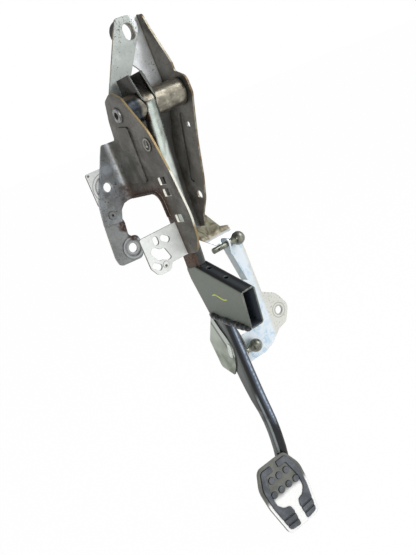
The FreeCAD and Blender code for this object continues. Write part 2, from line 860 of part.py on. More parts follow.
def ball_pin(ball_x, collar_x, end_x, z):
    """Ball-headed pin, its axis across the pedal box, with a collar against its seat."""
    ball = Part.makeSphere(ball_d / 2, Vector(ball_x, pin_y, z))
    shank = rod_x(pin_d, end_x, ball_x, pin_y, z)
    collar = rod_x(pin_collar_d, collar_x, collar_x + pin_collar_t, pin_y, z)
    neck = Part.makeCone(pin_d / 2, pin_d / 2 + 1.6, 5.0, Vector(ball_x - ball_d / 2 - 3.2, pin_y, z), Vector(1, 0, 0))
    return ball.fuse([shank, collar, neck]).removeSplitter()


def upper_ball_pin():
    z = pin_heights()[0]
    seat = upper_eye_x() + side_t
    pin = ball_pin(seat + 13.5, seat, seat - 19.5, z)
    hole = rod_y(pin_cross_d, pin_y - 10, pin_y + 10, seat - 14.0, z)
    return pin.cut(hole)


def lower_ball_pin():
    seat = lower_eye_x() + side_t
    return ball_pin(seat + 16.0, seat, seat - 5.0, pin_heights()[1])


# Pedal pad

def pad_place(depth):
    """Pad plane moved back by a depth: u to the right, v up the pad."""
    tilt = radians(pad_tilt)
    up = Vector(0, sin(tilt), cos(tilt))
    back = Vector(0, cos(tilt), -sin(tilt))
    centre = Vector(pad_x, pad_y, pad_z) + back * depth
    return lambda u, v: centre + Vector(u, 0, 0) + up * v


def pad_prism(corners, depth0, depth1):
    place = pad_place(depth0)
    tilt = radians(pad_tilt)
    back = Vector(0, cos(tilt), -sin(tilt))
    return Part.Face(rounded_wire(corners, place)).extrude(back * (depth1 - depth0))


def pad_stack():
    return pad_cover_t + pad_rubber_t + pad_plate_t


def mirrored(half):
    """Outline closed by its own mirror image about the middle of the pad."""
    return half + [(-u, v, r) for u, v, r in half[::-1]]


def pad_outline(inset):
    half = [
        (17.5 - inset * 0.7, 33.0 - inset, 8.0),
        (26.5 - inset, 14.0, 22.0),
        (25.5 - inset, -6.0, 30.0),
        (19.5 - inset, -36.8 + inset, 6.0),
    ]
    return mirrored(half)


def window_outline(side, inset):
    """One of the two long windows in the cover; side is 1 or -1."""
    points = [
        (3.8 + inset, 29.5 - inset, 1.0),
        (16.5 - inset, 29.5 - inset, 5.0),
        (23.3 - inset, 13.0, 16.0),
        (22.3 - inset, -6.0, 25.0),
        (17.0 - inset, -33.5 + inset, 4.0),
        (4.8 + inset, -35.0 + inset, 1.5),
        (4.4 + inset, -19.5, 1.5),
        (5.8 + inset, -14.2 - inset, 2.5),
        (12.6, -12.4 - inset, 5.0),
        (17.6 + inset, -6.5, 5.0),
        (18.4 + inset, 4.0, 10.0),
        (13.5 + inset, 23.5 + inset, 1.5),
        (3.8 + inset, 23.5 + inset, 1.0),
    ]
    return [(side * u, v, r) for u, v, r in points]


def dot_places():
    first = [(pad_dot_pitch * (i - 1), 16.8) for i in range(3)]
    second = [(pad_dot_pitch * (i - 1.5), 3.8) for i in range(4)]
    return first + second


def pad_rod(diameter, u, v, depth0, depth1):
    tilt = radians(pad_tilt)
    back = Vector(0, cos(tilt), -sin(tilt))
    return Part.makeCylinder(diameter / 2, depth1 - depth0, pad_place(depth0)(u, v), back)


def pad_cover():
    """Pressed metal cover with windows for the rubber."""
    cover = pad_prism(pad_outline(0.0), 0.0, pad_cover_t + 2.0)
    cover = cover.cut(pad_prism(pad_outline(pad_cover_t), pad_cover_t, pad_cover_t + 3.0))
    for side in (1, -1):
        cover = cover.cut(pad_prism(window_outline(side, 0.0), -1.0, pad_cover_t + 1))
    for u, v in dot_places():
        cover = cover.cut(pad_rod(pad_dot_d, u, v, -1.0, pad_cover_t + 1))
    return cover.removeSplitter()


def pad_rubber():
    """Rubber pad whose bands and studs stand through the cover."""
    front = pad_cover_t
    back = pad_cover_t + pad_rubber_t
    rubber = pad_prism(pad_outline(pad_cover_t + 0.05), front, back)
    for side in (1, -1):
        rubber = rubber.fuse(pad_prism(window_outline(side, 0.05), -pad_relief, front))
    for u, v in dot_places():
        rubber = rubber.fuse(pad_rod(pad_dot_d - 0.1, u, v, -pad_relief, front))
    for side in (1, -1):
        for v in (-21.5, -28.0):
            groove = [(side * 3.0, v, 0.0), (side * 26.0, v + 1.0, 0.0), (side * 26.0, v - 0.8, 0.0),
                      (side * 3.0, v - 1.8, 0.0)]
            rubber = rubber.cut(pad_prism(groove, -pad_relief - 1, -pad_relief + 0.8))
    return rubber.removeSplitter()


def pad_plate():
    """Steel back plate that the lower arm is welded to."""
    depth = pad_cover_t + pad_rubber_t
    return pad_prism(pad_outline(2.5), depth, depth + pad_plate_t)


# Writing the pieces

pieces = {
    "left_side_plate": left_side_plate,
    "lower_flange": lower_flange,
    "flange_rivet": flange_rivet,
    "bulkhead_plate": bulkhead_plate,
    "right_side_plate": right_side_plate,
    "upper_brace": upper_brace,
    "ear_sleeve": ear_sleeve,
    "ear_bush": ear_bush,
    "slotted_bracket": slotted_bracket,
    "hub_tube": hub_tube,
    "left_bush": lambda: pivot_bush("left"),
    "right_bush": lambda: pivot_bush("right"),
    "pivot_sleeve": pivot_sleeve,
    "pivot_pin": pivot_pin,
    "pedal_arm": pedal_arm,
    "lower_arm": lower_arm,
    "extension_box": extension_box,
    "forward_brace": forward_brace,
    "side_bracket": side_bracket,
    "upper_ball_pin": upper_ball_pin,
    "lower_ball_pin": lower_ball_pin,
    "pad_plate": pad_plate,
    "pad_rubber": pad_rubber,
    "pad_cover": pad_cover,
}

os.makedirs("parts", exist_ok=True)
for name, build in pieces.items():
    shape = build()
    shape.translate(-origin)
    shape.exportStep(f"parts/{name}.step")
    print(name, len(shape.Solids), "valid" if shape.isValid() else "INVALID", round(shape.Volume, 1))
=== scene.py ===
from math import cos, pi, radians, sin
from random import Random

import bmesh
import bpy
from mathutils import Matrix, Vector


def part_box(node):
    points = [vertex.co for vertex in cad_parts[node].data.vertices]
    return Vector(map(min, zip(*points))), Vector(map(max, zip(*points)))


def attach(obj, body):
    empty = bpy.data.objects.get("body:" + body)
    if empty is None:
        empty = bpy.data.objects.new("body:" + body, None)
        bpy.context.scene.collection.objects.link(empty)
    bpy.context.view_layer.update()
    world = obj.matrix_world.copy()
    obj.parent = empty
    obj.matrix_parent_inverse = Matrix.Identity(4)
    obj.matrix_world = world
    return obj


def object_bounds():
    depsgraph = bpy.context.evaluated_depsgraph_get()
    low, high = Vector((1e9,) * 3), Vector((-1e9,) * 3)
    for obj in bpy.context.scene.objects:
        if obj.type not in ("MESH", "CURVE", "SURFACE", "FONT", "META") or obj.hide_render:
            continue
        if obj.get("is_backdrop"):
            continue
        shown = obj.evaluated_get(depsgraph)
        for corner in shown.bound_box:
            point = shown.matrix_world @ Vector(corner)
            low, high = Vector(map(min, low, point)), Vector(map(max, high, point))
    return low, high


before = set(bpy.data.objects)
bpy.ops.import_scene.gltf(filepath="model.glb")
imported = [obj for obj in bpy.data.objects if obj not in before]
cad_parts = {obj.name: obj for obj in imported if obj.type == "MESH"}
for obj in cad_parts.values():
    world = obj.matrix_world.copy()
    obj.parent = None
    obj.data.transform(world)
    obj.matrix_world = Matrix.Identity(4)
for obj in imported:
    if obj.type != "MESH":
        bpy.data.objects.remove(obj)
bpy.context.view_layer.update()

# Finishes, weld beads, tab, pen stroke and stage of a hanging brake pedal in its pedal box.
# Lengths are metres in the frame of the CAD model. Places on the pedal are
# written in millimetres from the pivot axis.

bl_info = {
    "name": "Brake pedal",
    "version": (1, 0, 0),
    "blender": (4, 5, 0),
    "location": "3D View > Sidebar > Brake pedal",
    "description": "Dresses a brake pedal and its pedal box with worn steel, zinc, paint and rubber",
    "category": "Object",
}

PIVOT = Vector((0.018, -0.044, 0.0855))

# Directions that a surface can look in.
LEFT = (-1.0, 0.0, 0.0)
REAR = (0.0, -1.0, 0.0)
BOX_TOP = (0.0, -0.4, 0.92)
PAD_FACE = (0.0, -0.961, 0.276)
ARM_CORNER = (-0.72, -0.69, 0.0)

# Places in millimetres from the pivot.
PLATE_HOLE = (0, -29, -31)
UPPER_FLANGE_HOLE = (-18, 42, -55)
LOWER_FLANGE_HOLE = (-18, 42, -116)
EAR_EYE = (114, 51, -252)
BOX_FACE_X = 20.28
TAB_MIDDLE = Vector((0.0, 13.2, -246.0))
STRIP_MIDDLE_Z = -243.5
WEB_MIDDLE_X = 27.0
CREASE_X, CREASE_Z = 22.5, -320
CAMERA = (-269.8, -543.0, -8.8)
CAMERA_TARGET = (30, 0, -170)

# Slopes: how far the strip on the brace runs back, and the crease runs down, for each step along.
STRIP_LEAN = 0.45
CREASE_LEAN = 2.7

# Linear tone of bare, clean metal.
PALE_METAL = (0.9, 0.9, 0.88)


def at(x, y, z):
    """Place given in millimetres from the pivot axis."""
    return PIVOT + Vector((x, y, z)) / 1000


def on_axis(name, place):
    """Coordinate in metres of a place given in millimetres from the pivot along one axis."""
    return at(place, place, place)["XYZ".index(name)]


def shade(red, green, blue):
    """Linear colour of an sRGB colour given in 0 to 255."""
    tones = []
    for value in (red, green, blue):
        tone = value / 255
        tones.append(tone / 12.92 if tone <= 0.04045 else ((tone + 0.055) / 1.055) ** 2.4)
    return tuple(tones)


def darker(tone, share):
    return tuple(value * share for value in tuple(tone)[:3])


def mixed(first, second, share):
    return tuple(a + (b - a) * share for a, b in zip(tuple(first)[:3], tuple(second)[:3]))


def rgba(tone):
    """Colour as a node's socket takes it. A socket stays as it is."""
    return tone if isinstance(tone, bpy.types.NodeSocket) else tuple(tone)[:3] + (1.0,)


def colour_setting(name, text, tone):
    return bpy.props.FloatVectorProperty(
        name=name, description=text, subtype="COLOR", size=3, min=0.0, max=1.0, default=shade(*tone))


class SteelSettings(bpy.types.PropertyGroup):
    """Colours of the sheet steel, its plating and its rust."""
    side: colour_setting("Side plates", "Oiled steel of the box sides", (82, 79, 71))
    flange: colour_setting("Flange", "Weathered steel of the bulkhead flange", (148, 150, 150))
    zinc: colour_setting("Zinc", "Weathered zinc of the upper ear", (170, 176, 172))
    pale_zinc: colour_setting("Pale zinc", "Galvanised steel of the small brackets", (246, 248, 243))
    bright_zinc: colour_setting("Bright zinc", "Bluish zinc of the side bracket", (232, 240, 246))
    rust: colour_setting("Rust", "Brown rust in bends and on edges", (76, 54, 42))
    ochre: colour_setting("Ochre", "Light rust on cut edges", (150, 128, 88))
    rust_amount: bpy.props.FloatProperty(
        name="Rust amount", description="How much of the steel is rusted", subtype="FACTOR",
        min=0.0, max=1.0, default=0.5)


class ArmSettings(bpy.types.PropertyGroup):
    """Colours of the arm, its paint and its welds."""
    web: colour_setting("Arm web", "Greenish zinc of the upper arm", (180, 190, 179))
    oil: colour_setting("Oil", "Dark oil on the arm flanges", (44, 34, 28))
    gloss: colour_setting("Gloss paint", "Black paint of the lower arm", (30, 31, 33))
    satin: colour_setting("Satin paint", "Black paint of the extension box", (98, 106, 95))
    mark: colour_setting("Pen mark", "Yellow paint pen", (214, 222, 92))
    bead_width: bpy.props.FloatProperty(
        name="Bead width", description="Width of the weld beads", unit="LENGTH",
        min=0.001, max=0.009, default=0.0058)


class PadSettings(bpy.types.PropertyGroup):
    """Colours of the pad."""
    rubber: colour_setting("Rubber", "Worn rubber of the pad", (80, 84, 90))
    cover: colour_setting("Cover", "Brushed metal of the pad cover", (126, 127, 121))


class StageSettings(bpy.types.PropertyGroup):
    """Light and background."""
    background: colour_setting("Background", "Floor and backdrop", (255, 255, 255))
    sky_level: bpy.props.FloatProperty(
        name="Sky", description="Strength of the light from all sides", min=0.0, max=2.0, default=0.62)
    key_level: bpy.props.FloatProperty(
        name="Key light", description="Power of the large light on the right", min=0.0, max=60.0, default=11.0)
    fill_level: bpy.props.FloatProperty(
        name="Fill light", description="Power of the soft light on the left", min=0.0, max=60.0, default=5.0)
    focal: bpy.props.FloatProperty(
        name="Focal length", description="Of the camera, on a 36 mm sensor, in millimetres",
        min=10.0, max=200.0, default=44.11)


def add_node(tree, kind, sockets=None, **settings):
    """New shader node with its settings, and a value or a link for each socket given."""
    node = tree.nodes.new("ShaderNode" + kind)
    for key, value in settings.items():
        setattr(node, key, value)
    for key, value in (sockets or {}).items():
        if isinstance(value, bpy.types.NodeSocket):
            tree.links.new(value, node.inputs[key])
        else:
            node.inputs[key].default_value = value
    return node


class Finish:
    """A material whose nodes read the piece's own coordinates, with its edges rounded by a radius."""

    def __init__(self, name, metallic, edge=0.0, **sockets):
        self.material = bpy.data.materials.new(name)
        self.material.use_nodes = True
        self.tree = self.material.node_tree
        self.shader = self.tree.nodes["Principled BSDF"]
        self.shader.inputs["Metallic"].default_value = metallic
        for key, value in sockets.items():
            self.shader.inputs[key.replace("_", " ")].default_value = value
        self.place = self.add("TexCoord").outputs["Object"]
        self.colour = None
        self.normal = self.rounded(edge) if edge else None

    def add(self, kind, sockets=None, **settings):
        return add_node(self.tree, kind, sockets, **settings)

    def sums(self, operation, first, second):
        return self.add("Math", {0: first, 1: second}, operation=operation).outputs[0]

    def vector(self, operation, first, second=None):
        sockets = {0: first} if second is None else {0: first, 1: second}
        return self.add("VectorMath", sockets, operation=operation).outputs

    def both(self, first, *others):
        """Masks multiplied."""
        for mask in others:
            first = self.sums("MULTIPLY", first, mask)
        return first

    def either(self, first, *others):
        """The largest of the masks."""
        for mask in others:
            first = self.sums("MAXIMUM", first, mask)
        return first

    def rest(self, mask):
        """1 where the mask is 0."""
        return self.sums("SUBTRACT", 1.0, mask)

    def level(self, mask, low, high):
        """Number that runs from low to high with the mask."""
        return self.add("MapRange", {"Value": mask, "To Min": low, "To Max": high}).outputs[0]

    def band(self, value, low, high):
        """0 below the low value, 1 above the high one, smooth between. Low may be the larger."""
        made = self.add("MapRange", {
            "Value": value, "From Min": low, "From Max": high}, interpolation_type="SMOOTHSTEP")
        return made.outputs[0]

    def blend(self, mask, under, over, amount=1.0):
        """Colour over shown where the mask is 1, by the amount."""
        if amount != 1.0:
            mask = self.both(mask, amount)
        return self.add("Mix", {0: mask, 6: rgba(under), 7: rgba(over)}, data_type="RGBA").outputs[2]

    def cover(self, mask, tone, amount=1.0):
        """Puts a tone over the finish's own colour where the mask is 1, by the amount."""
        self.colour = self.blend(mask, self.colour, tone, amount)

    def noise(self, size, detail=3.0, warp=0.0, stretch=(1, 1, 1), shift=0.0):
        """Clouds whose grain is about the given size in metres."""
        place = self.add("Mapping", {
            "Vector": self.place, "Scale": Vector(stretch) / size, "Location": (shift, shift, shift)})
        made = self.add("TexNoise", {
            "Vector": place.outputs[0], "Scale": 1.0, "Detail": detail, "Roughness": 0.6, "Distortion": warp})
        return made.outputs["Fac"]

    def patches(self, size, low, high, **settings):
        """1 where the clouds are above the high value and 0 where they are below the low one."""
        return self.band(self.noise(size, **settings), low, high)

    def drift(self, value, grain, reach, detail=3.0):
        """Value moved up or down by clouds, by the reach at most."""
        clouds = self.sums("SUBTRACT", self.noise(grain, detail=detail), 0.5)
        return self.sums("ADD", value, self.sums("MULTIPLY", clouds, 2 * reach))

    def axis(self, name, wobble=0.0, grain=0.012):
        """One coordinate in metres, made uneven by clouds."""
        value = self.add("SeparateXYZ", {0: self.place}).outputs[name]
        return self.drift(value, grain, wobble) if wobble else value

    def along(self, name, low, high, wobble=0.0, grain=0.012):
        """0 up to one place on an axis and 1 beyond the other, both in millimetres from the pivot."""
        return self.band(self.axis(name, wobble, grain), on_axis(name, low), on_axis(name, high))

    def stripe(self, name, low, rise, fall, high, wobble=0.0, grain=0.012):
        """1 between two places on an axis in millimetres from the pivot, soft towards low and high."""
        return self.both(self.along(name, low, rise, wobble, grain), self.along(name, high, fall, wobble, grain))

    def distance(self, centre):
        """Metres from a place given in millimetres from the pivot."""
        return self.vector("DISTANCE", self.place, at(*centre))["Value"]

    def spot(self, centre, reach):
        """1 within reach metres of a place, uneven at its border."""
        far = self.drift(self.distance(centre), reach * 0.6, reach * 0.3)
        return self.band(far, reach, reach * 0.5)

    def ring(self, centre, inner, outer):
        """1 between two distances in metres from a place, soft at both."""
        far = self.distance(centre)
        soft = (outer - inner) / 3
        return self.both(self.band(far, inner - soft, inner + soft), self.band(far, outer + soft, outer - soft))

    def rings(self, centre, *bounds):
        """1 on each of the rings round a place."""
        return self.either(*[self.ring(centre, inner, outer) for inner, outer in bounds])

    def zone(self, low, high, reach, wobble=0.0):
        """1 inside the box between two places in millimetres from the pivot, 0 beyond reach metres around it."""
        low, high = at(*low), at(*high)
        away = self.vector("SUBTRACT", self.place, (low + high) / 2)[0]
        away = self.vector("SUBTRACT", self.vector("ABSOLUTE", away)[0], (high - low) / 2)[0]
        away = self.vector("MAXIMUM", away, (0, 0, 0))[0]
        far = self.vector("LENGTH", away)["Value"]
        if wobble:
            far = self.drift(far, 0.008, wobble, detail=4.0)
        return self.band(far, reach, 0.0)

    def outward(self):
        """Direction that the surface looks in."""
        return self.add("NewGeometry").outputs["Normal"]

    def facing(self, direction, low, high):
        """1 where the surface looks along the given direction."""
        return self.band(self.vector("DOT_PRODUCT", self.outward(), direction)["Value"], low, high)

    def across(self, name):
        """1 where the surface doesn't look along an axis, as the cut edges of a sheet across it."""
        turn = self.add("SeparateXYZ", {0: self.outward()}).outputs[name]
        return self.band(self.sums("ABSOLUTE", turn, 0.0), 0.5, 0.3)

    def crevice(self, distance, low=0.35, high=0.8):
        """1 deep in corners and under edges."""
        made = self.add("AmbientOcclusion", {"Distance": distance}, samples=8)
        return self.band(made.outputs["AO"], high, low)

    def rounded(self, width):
        """Direction that the surface would look in, were its edges rounded by the given radius."""
        return self.add("Bevel", {"Radius": width}, samples=4).outputs[0]

    def edges(self, width):
        """1 near the sharp edges of the piece."""
        turn = self.vector("DOT_PRODUCT", self.rounded(width), self.outward())["Value"]
        return self.band(turn, 0.995, 0.86)

    def dent(self, height, depth):
        """Surface raised by depth metres where the height is 1."""
        sockets = {"Height": height, "Distance": depth, "Strength": 1.0}
        if self.normal:
            sockets["Normal"] = self.normal
        self.normal = self.add("Bump", sockets).outputs[0]

    def put(self, socket, value):
        self.tree.links.new(value, self.shader.inputs[socket])

    def finish(self, roughness):
        self.put("Base Color", self.colour)
        self.put("Roughness", roughness)
        if self.normal:
            self.put("Normal", self.normal)
        return self.material


def dress(material, *names):
    """Gives CAD nodes a material."""
    for name in names:
        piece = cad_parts[name]
        if not piece.material_slots:
            piece.data.materials.append(material)
        for slot in piece.material_slots:
            slot.material = material


def place_piece(piece, body, material):
    piece.data.materials.append(material)
    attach(piece, body)


def sheet_steel(name, tone, settings, metallic=0.75, rough=(0.34, 0.56), contrast=1.0, speck=0.62,
                rusted=None, edge_tone=None, grime_and_shade=0.6, areas=None, edge_shade=0.0):
    """Worn sheet steel: clouds, fine grain, scratches, rust specks, soiling and painted shade in corners, worn edges
    and a painted dark line along sharp edges.
    Rusted gets the finish and returns a mask, areas gets it and covers parts of its colour,
    and edge_tone returns a mask and a colour."""
    look = Finish(name, metallic, 0.0006)
    clouds = look.noise(0.022, detail=5.0, warp=0.6)
    fine = look.noise(0.0026, detail=4.0, shift=3.1)
    thin = look.level(look.band(fine, 0.3, 0.6), 0.6, 1.0)
    look.colour = look.blend(look.band(clouds, 0.34, 0.68), darker(tone, 1.0 - 0.22 * contrast),
                             mixed(tone, (0.9, 0.9, 0.87), 0.12 * contrast))
    grain = look.level(look.band(fine, 0.42, 0.78), 0.0, 0.4 * contrast)
    look.cover(grain, darker(tone, 0.5))
    scratch = look.patches(0.0012, 0.66, 0.72, detail=2.0, stretch=(1, 1, 7), shift=7.0)
    look.cover(look.level(scratch, 0.0, 0.3), mixed(tone, PALE_METAL, 0.5))
    if areas:
        areas(look)
    pits = look.patches(0.0011, 0.56, 0.66, detail=3.0, shift=11.0)
    look.cover(pits, darker(tone, 0.3), 0.35 * contrast)
    rust = look.both(look.patches(0.0018, speck, speck + 0.06, detail=2.0, shift=1.7),
                     look.patches(0.03, 0.45, 0.6, shift=5.0))
    if rusted:
        rust = look.either(rust, rusted(look))
    rust = look.both(rust, thin, 0.7 + 0.6 * settings.rust_amount)
    rust_tone = look.blend(look.patches(0.004, 0.4, 0.65, detail=3.0), settings.rust, darker(settings.rust, 0.45))
    look.cover(rust, rust_tone)
    if edge_tone:
        mask, over = edge_tone(look)
        look.cover(mask, over)
    # Painted shade: a thin dark line along the sharp edges.
    if edge_shade:
        look.cover(look.edges(0.0005), darker(tone, 0.25), edge_shade)
    # Soiling and painted shade: darker in corners, where the ambient occlusion is low.
    dirt_and_shade = look.both(look.crevice(0.006), thin)
    look.cover(dirt_and_shade, darker(mixed(tone, settings.rust, 0.4), 0.3), grime_and_shade)
    look.dent(fine, 0.00006)
    look.dent(rust, 0.00009)
    look.put("Metallic", look.level(rust, metallic, 0.1))
    roughness = look.level(look.band(clouds, 0.35, 0.7), *rough)
    return look.finish(look.either(roughness, look.level(rust, 0.0, 0.85)))


def worn_cut(name, pale, tan, beyond=None, keep_out=(), rusty_zones=(), rust_low=0.42):
    """Cut edges of a sheet across an axis: pale bare metal with light rust in places.
    Beyond gives two places in millimetres along the axis, between which the worn tone comes in.
    Keep_out and rusty_zones are boxes, given by two corners."""
    def mask_and_tone(look):
        mask = look.across(name)
        if beyond:
            mask = look.both(mask, look.along(name, *beyond))
        for low, high in keep_out:
            mask = look.both(mask, look.rest(look.zone(low, high, 0.001)))
        rusty = look.patches(0.009, rust_low, rust_low + 0.14, detail=4.0, shift=6.0)
        for low, high in rusty_zones:
            rusty = look.either(rusty, look.zone(low, high, 0.006, 0.004))
        return mask, look.blend(rusty, pale, tan)
    return mask_and_tone


def ring_mesh(name, rings):
    """Smooth skin over rings of points, with capped ends."""
    mesh = bmesh.new()
    rows = [[mesh.verts.new(point) for point in ring] for ring in rings]
    for low, high in zip(rows, rows[1:]):
        count = len(low)
        for i in range(count):
            mesh.faces.new((low[i], low[(i + 1) % count], high[(i + 1) % count], high[i]))
    mesh.faces.new(rows[0][::-1])
    mesh.faces.new(rows[-1])
    bmesh.ops.recalc_face_normals(mesh, faces=mesh.faces)
    data = bpy.data.meshes.new(name)
    mesh.to_mesh(data)
    mesh.free()
    piece = bpy.data.objects.new(name, data)
    bpy.context.scene.collection.objects.link(piece)
    for face in data.polygons:
        face.use_smooth = True
    return piece


def path_points(corners, step):
    """Points along straight runs between corners, about a step apart."""
    points = [corners[0].copy()]
    for low, high in zip(corners, corners[1:]):
        count = max(1, round((high - low).length / step))
        points += [low.lerp(high, k / count) for k in range(1, count + 1)]
    return points


def weld_bead(name, corners, width, seed):
    """Rippled bead of weld along a run of corners, in metres."""
    sides, flatness = 10, 0.8
    chance = Random(seed)
    points = path_points(corners, width * 0.22)
    rings = []
    drift = 0.0
    for i, point in enumerate(points):
        before, after = points[max(i - 1, 0)], points[min(i + 1, len(points) - 1)]
        ahead = (after - before).normalized()
        across = ahead.cross(Vector((0.3, 0.5, 1.0))).normalized()
        up = ahead.cross(across)
        drift = 0.8 * drift + 0.2 * chance.uniform(-1, 1)
        end = min(i, len(points) - 1 - i)
        taper = min(1.0, 0.35 + 0.25 * end)
        lump = 0.58 + 0.55 * abs(sin(i * 0.3 + seed)) ** 0.5
        radius = width / 2 * taper * (lump + 0.1 * sin(i * 1.7) + 0.35 * drift)
        ring = []
        for k in range(sides):
            turn = 2 * pi * k / sides
            ring.append(point + across * cos(turn) * radius + up * sin(turn) * radius * flatness)
        rings.append(ring)
    piece = ring_mesh(name, rings)
    smooth = piece.modifiers.new("Smooth bead", "SUBSURF")
    smooth.levels = 1
    smooth.render_levels = 1
    return piece


class SidePlates(bpy.types.Operator):
    """Oiled and rusted steel on the two sides of the pedal box"""
    bl_idname = "brake_pedal.side_plates"
    bl_label = "Side plates"

    def execute(self, context):
        steel = context.scene.brake_pedal_steel

        def arch_rust(look):
            arch = look.zone((-6, -19, -130), (3, 36, -73), 0.015, 0.006)
            bend = look.zone((-5, 33, -78), (3, 42, -62), 0.007, 0.006)
            return look.either(arch, look.both(bend, 0.85))

        def flange_areas(look):
            # Painted highlight: a pale ring round the hole in the side plate.
            rim_shading = look.ring(PLATE_HOLE, 0.0044, 0.0056)
            look.cover(rim_shading, shade(176, 176, 168), 0.6)
            mottle = look.patches(0.0045, 0.5, 0.7, detail=5.0, shift=3.3)
            look.cover(mottle, shade(58, 50, 42), 0.35)
            grey = look.patches(0.013, 0.36, 0.66, detail=5.0, warp=0.6)
            light = look.blend(grey, darker(steel.flange, 0.85), mixed(steel.flange, (0.7, 0.76, 0.84), 0.3))
            # Painted highlights: pale bluish spots near the top of the flange, and a pale ring round its upper hole.
            highlight_spots = look.either(look.spot((-12, 42, -40), 0.007), look.spot((-27, 42, -50), 0.005))
            light = look.blend(highlight_spots, light, shade(196, 204, 214), 0.7)
            hole_ring_highlight = look.ring(UPPER_FLANGE_HOLE, 0.0047, 0.0068)
            light = look.blend(hole_ring_highlight, light, shade(178, 184, 190), 0.6)
            blotch = look.patches(0.006, 0.6, 0.68, detail=4.0, shift=2.4)
            light = look.blend(blotch, light, shade(70, 66, 60), 0.4)
            look.cover(look.along("Y", 36.5, 39.5, 0.0008), light)

        folds = (((-3, -12, -64), (3, 60, -6)), ((-3, 33, -140), (3, 60, 10)), ((-3, -36, -38), (3, -22, -24)))
        rusty_ends = (((-5, -60, -54), (5, 0, 20)), ((-5, -60, -140), (5, -20, -108)))
        left_cut = worn_cut("X", shade(226, 224, 212), shade(150, 130, 92), beyond=(-0.5, 0.0), keep_out=folds,
                            rusty_zones=rusty_ends, rust_low=0.62)
        left = sheet_steel("Oiled side steel", steel.side, steel, metallic=0.7, rusted=arch_rust,
                           areas=flange_areas, edge_tone=left_cut)
        dress(left, "left_side_plate")

        def far_rust(look):
            return look.both(look.zone((60, 20, -132), (70, 40, -112), 0.012, 0.008), 0.6)

        def lit_skin(look):
            # Painted light: the faces of the far side that look to the rear are near white, and grey lower down.
            sheen = look.patches(0.02, 0.3, 0.7, detail=2.0)
            light = look.blend(sheen, shade(214, 216, 216), shade(244, 247, 250))
            light = look.blend(look.along("Z", 14, -14, 0.003), light, shade(128, 130, 126))
            look.cover(look.facing(REAR, 0.3, 0.75), light)

        beads = (((60, 5, -34), (75, 25, -14)), ((60, 15, -60), (75, 36, -34)), ((60, 24, -92), (75, 50, -60)))
        right_cut = worn_cut("X", shade(150, 145, 130), shade(118, 98, 74), beyond=(66.6, 67.2), keep_out=beads)
        right = sheet_steel("Oiled far side steel", darker(steel.side, 1.35), steel, metallic=0.7,
                            rusted=far_rust, areas=lit_skin, edge_tone=right_cut)
        dress(right, "right_side_plate")
        return {"FINISHED"}


class BulkheadFlange(bpy.types.Operator):
    """Weathered steel on the lower flange and its rivet"""
    bl_idname = "brake_pedal.bulkhead_flange"
    bl_label = "Bulkhead flange"

    def execute(self, context):
        steel = context.scene.brake_pedal_steel

        def rusted(look):
            return look.either(look.spot((-17, 42, -94), 0.008), look.spot((-13, 42, -105), 0.007))

        def dish_highlights(look):
            # Painted highlights: two pale rings on the boss round the lower hole.
            boss_highlight = look.rings(LOWER_FLANGE_HOLE, (0.0046, 0.0062), (0.009, 0.0104))
            look.cover(boss_highlight, shade(188, 192, 196), 0.6)

        cut = worn_cut("Y", darker(steel.flange, 0.6), mixed(steel.flange, steel.ochre, 0.4))
        flange = sheet_steel("Weathered flange steel", steel.flange, steel, rusted=rusted, rough=(0.26, 0.48),
                             contrast=0.75, areas=dish_highlights, edge_shade=0.5, edge_tone=cut)
        dress(flange, "lower_flange", "flange_rivet")
        return {"FINISHED"}


